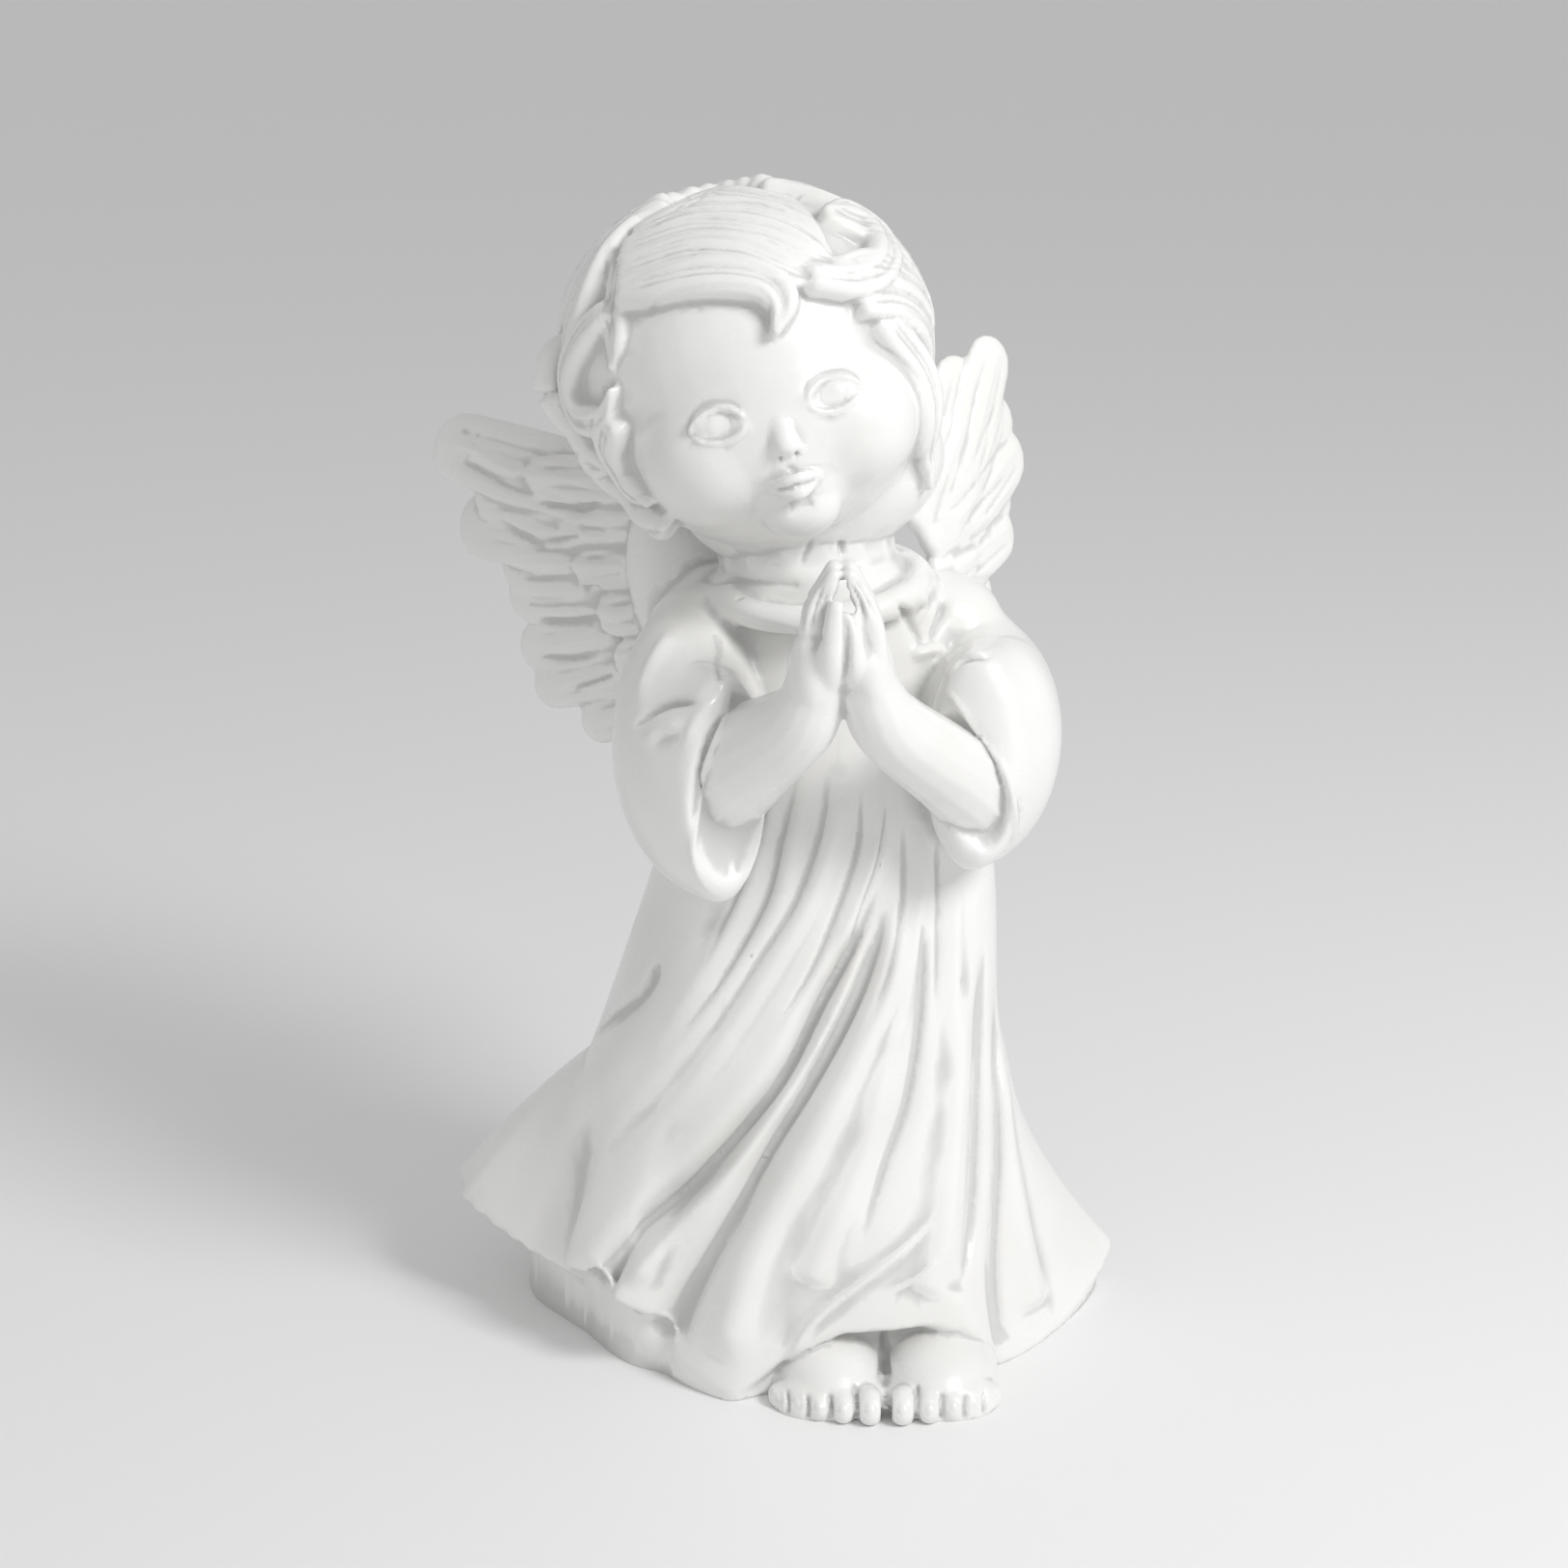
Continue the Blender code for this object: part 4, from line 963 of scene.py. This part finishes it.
# %% Thin and cut flat
set_points(cast, points)
cast.data.transform(Matrix.Translation((SHIFT[0] * MM, SHIFT[1] * MM, 0)))
flat = bmesh.new()
flat.from_mesh(cast.data)
below = bmesh.ops.bisect_plane(
    flat, geom=flat.verts[:] + flat.edges[:] + flat.faces[:], plane_co=(0, 0, 0), plane_no=(0, 0, 1), clear_inner=True
)
rim = [edge for edge in flat.edges if edge.is_boundary]
bmesh.ops.triangle_fill(flat, edges=rim, use_beauty=True)
bmesh.ops.recalc_face_normals(flat, faces=flat.faces)
flat.to_mesh(cast.data)
flat.free()
cast.data.update()
thin = cast.modifiers.new("thin", "DECIMATE")
thin.ratio = min(1.0, CAST_TRIANGLES / sum(len(face.vertices) - 2 for face in cast.data.polygons))
cast = baked(cast)
print("cast", len(cast.data.vertices), "points", len(cast.data.polygons), "faces")

# %% [markdown]
# ## Drawn to the solid's box, and the recesses found
#
# The finished skin is drawn in by a hair so that it ends exactly where the imported solid does. Then every
# point learns how deep it lies: the points are averaged with their neighbours many times over, and where
# the averaged surface ends up outside the real one, there is a recess. That number is kept on the mesh,
# and the finish reads it to paint shade into the colour of the recesses and to dull their gloss.

# %% Fit and recesses
RECESS_ROUNDS, RECESS_FULL = (6, 40), (0.16, 1.1)

points, normals = points_and_normals(cast)
low, high = (np.array(corner) / MM for corner in CAD_BOX)
points = low + (points - points.min(0)) * (high - low) / (points.max(0) - points.min(0))
set_points(cast, points)
points, normals = points_and_normals(cast)

edges = np.empty(len(cast.data.edges) * 2, np.int32)
cast.data.edges.foreach_get("vertices", edges)
one, other = edges.reshape(-1, 2).T
degree = np.bincount(edges, minlength=len(points))[:, None]
soft, depth_of = points.copy(), np.zeros(len(points))
for done in range(1, RECESS_ROUNDS[-1] + 1):
    total = np.stack(
        [
            np.bincount(one, soft[other, k], len(points)) + np.bincount(other, soft[one, k], len(points))
            for k in range(3)
        ],
        1,
    )
    soft = total / degree
    if done in RECESS_ROUNDS:
        full = RECESS_FULL[RECESS_ROUNDS.index(done)]
        depth_of = np.maximum(depth_of, np.clip(((soft - points) * normals).sum(1) / full, 0, 1))
# The recess depth drives painted shade in the colour and a duller gloss in the finish.
recess = cast.data.attributes.new("recess", "FLOAT", "POINT")
recess.data.foreach_set("value", depth_of.astype(np.float32))
print("share of points in a recess", round(float((depth_of > 0.3).mean()), 3))

# %% [markdown]
# ## Glossy white resin
#
# The casting is a slightly warm white with a clear gloss. The recesses are duller, where dust settles and the
# mould left its film, and painted shade greys their colour. Broad, faint patches keep the white from looking
# like paint out of one pot, the gloss changes with them, and here and there an air bubble in the mould left a
# pinhole.

# %% Resin
# The third colour is painted shade for the recesses; WHITE and PATCH are the resin's own tones.
WHITE, PATCH, PAINTED_SHADE = (0.88, 0.88, 0.872, 1), (0.845, 0.84, 0.82, 1), (0.60, 0.60, 0.59, 1)
PATCH_SCALE, RIPPLE_SCALE, PIT_SCALE = 45.0, 420.0, 95.0

resin = bpy.data.materials.new("white_resin")
resin.use_nodes = True
nodes, links = resin.node_tree.nodes, resin.node_tree.links
bsdf = nodes["Principled BSDF"]
bsdf.inputs["Coat Weight"].default_value = 0.3
bsdf.inputs["Coat Roughness"].default_value = 0.12


def node(kind, **settings):
    """A new shader node with its properties set."""
    made = nodes.new(kind)
    for key, value in settings.items():
        setattr(made, key, value)
    return made


def mapped(value, to_min, to_max, from_min=0.0, from_max=1.0):
    """A value moved from one span to another."""
    span = node("ShaderNodeMapRange")
    links.new(value, span.inputs["Value"])
    for name, number in (("From Min", from_min), ("From Max", from_max), ("To Min", to_min), ("To Max", to_max)):
        span.inputs[name].default_value = number
    return span.outputs["Result"]


def mixed(factor, first, second):
    """Two colours mixed by a factor that changes over the surface."""
    mix = node("ShaderNodeMix", data_type="RGBA")
    links.new(factor, mix.inputs["Factor"])
    for socket, colour in ((mix.inputs["A"], first), (mix.inputs["B"], second)):
        if isinstance(colour, tuple):
            socket.default_value = colour
        else:
            links.new(colour, socket)
    return mix.outputs["Result"]


def noise(scale, detail):
    """Soft random patches; the scale counts them in a metre."""
    made = node("ShaderNodeTexNoise")
    made.inputs["Scale"].default_value = scale
    made.inputs["Detail"].default_value = detail
    links.new(place.outputs["Object"], made.inputs["Vector"])
    return made.outputs["Fac"]


place = node("ShaderNodeTexCoord")
hollow = node("ShaderNodeAttribute", attribute_name="recess").outputs["Fac"]
patches = mapped(noise(PATCH_SCALE, 3.0), 0.0, 1.0, 0.42, 0.62)
clean = mixed(patches, WHITE, PATCH)
# Painted shade: the colour greys toward the painted shade colour where the recess attribute is deep.
links.new(mixed(mapped(hollow, 0.0, 0.8, 0.2, 1.0), clean, PAINTED_SHADE), bsdf.inputs["Base Color"])
print("colours joined")

# %% Gloss and pinholes
gloss = node("ShaderNodeMath", operation="ADD")
links.new(mapped(patches, 0.24, 0.33), gloss.inputs[0])
links.new(mapped(hollow, 0.0, 0.25), gloss.inputs[1])
links.new(gloss.outputs["Value"], bsdf.inputs["Roughness"])

pits = node("ShaderNodeTexVoronoi")
pits.inputs["Scale"].default_value = PIT_SCALE
links.new(place.outputs["Object"], pits.inputs["Vector"])
rare = mapped(noise(PATCH_SCALE * 0.8, 0.0), 0.0, 1.0, 0.66, 0.70)
hole = node("ShaderNodeMath", operation="MULTIPLY")
links.new(mapped(pits.outputs["Distance"], 1.0, 0.0, 0.03, 0.11), hole.inputs[0])
links.new(rare, hole.inputs[1])

bubble = node("ShaderNodeBump")
bubble.inputs["Strength"].default_value = 0.8
bubble.inputs["Distance"].default_value = 0.0005
bubble.invert = True
links.new(hole.outputs["Value"], bubble.inputs["Height"])
ripple = node("ShaderNodeBump")
ripple.inputs["Strength"].default_value = 0.12
ripple.inputs["Distance"].default_value = 0.0004
links.new(noise(RIPPLE_SCALE, 4.0), ripple.inputs["Height"])
links.new(bubble.outputs["Normal"], ripple.inputs["Normal"])
links.new(ripple.outputs["Normal"], bsdf.inputs["Normal"])
print("finish made with", len(nodes), "nodes")

# %% Dress the casting
cast.data.materials.clear()
cast.data.materials.append(resin)
for polygon in cast.data.polygons:
    polygon.use_smooth = True

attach(cast, "root")
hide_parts("angel_statue")

# %% [markdown]
# ## Floor and light
#
# A plain pale floor, a soft key from the viewer's right, and a weak fill.

# %% Studio
bpy.ops.mesh.primitive_plane_add(size=40)
floor = bpy.context.object
floor.name = "floor"
paper = bpy.data.materials.new("floor_paper")
paper.use_nodes = True
paper.node_tree.nodes["Principled BSDF"].inputs["Base Color"].default_value = (0.9, 0.9, 0.9, 1)
floor.data.materials.append(paper)


def soft_light(name, place, aim, size, power):
    """A square area light that points at a place."""
    light = bpy.data.lights.new(name, "AREA")
    light.size = size
    light.energy = power
    lamp = bpy.data.objects.new(name, light)
    lamp.location = place
    lamp.rotation_euler = (Vector(aim) - Vector(place)).to_track_quat("-Z", "Y").to_euler()
    bpy.context.scene.collection.objects.link(lamp)


soft_light("key", (0.50, -0.42, 0.62), (0, 0, 0.1), 0.26, 4.0)
soft_light("fill", (-0.7, -0.5, 0.3), (0, 0, 0.1), 0.6, 0.25)

sky = bpy.data.worlds.new("studio")
sky.use_nodes = True
sky.node_tree.nodes["Background"].inputs["Color"].default_value = (1, 1, 1, 1)
sky.node_tree.nodes["Background"].inputs["Strength"].default_value = 0.53
bpy.context.scene.world = sky
bpy.context.scene.view_settings.view_transform = "Standard"
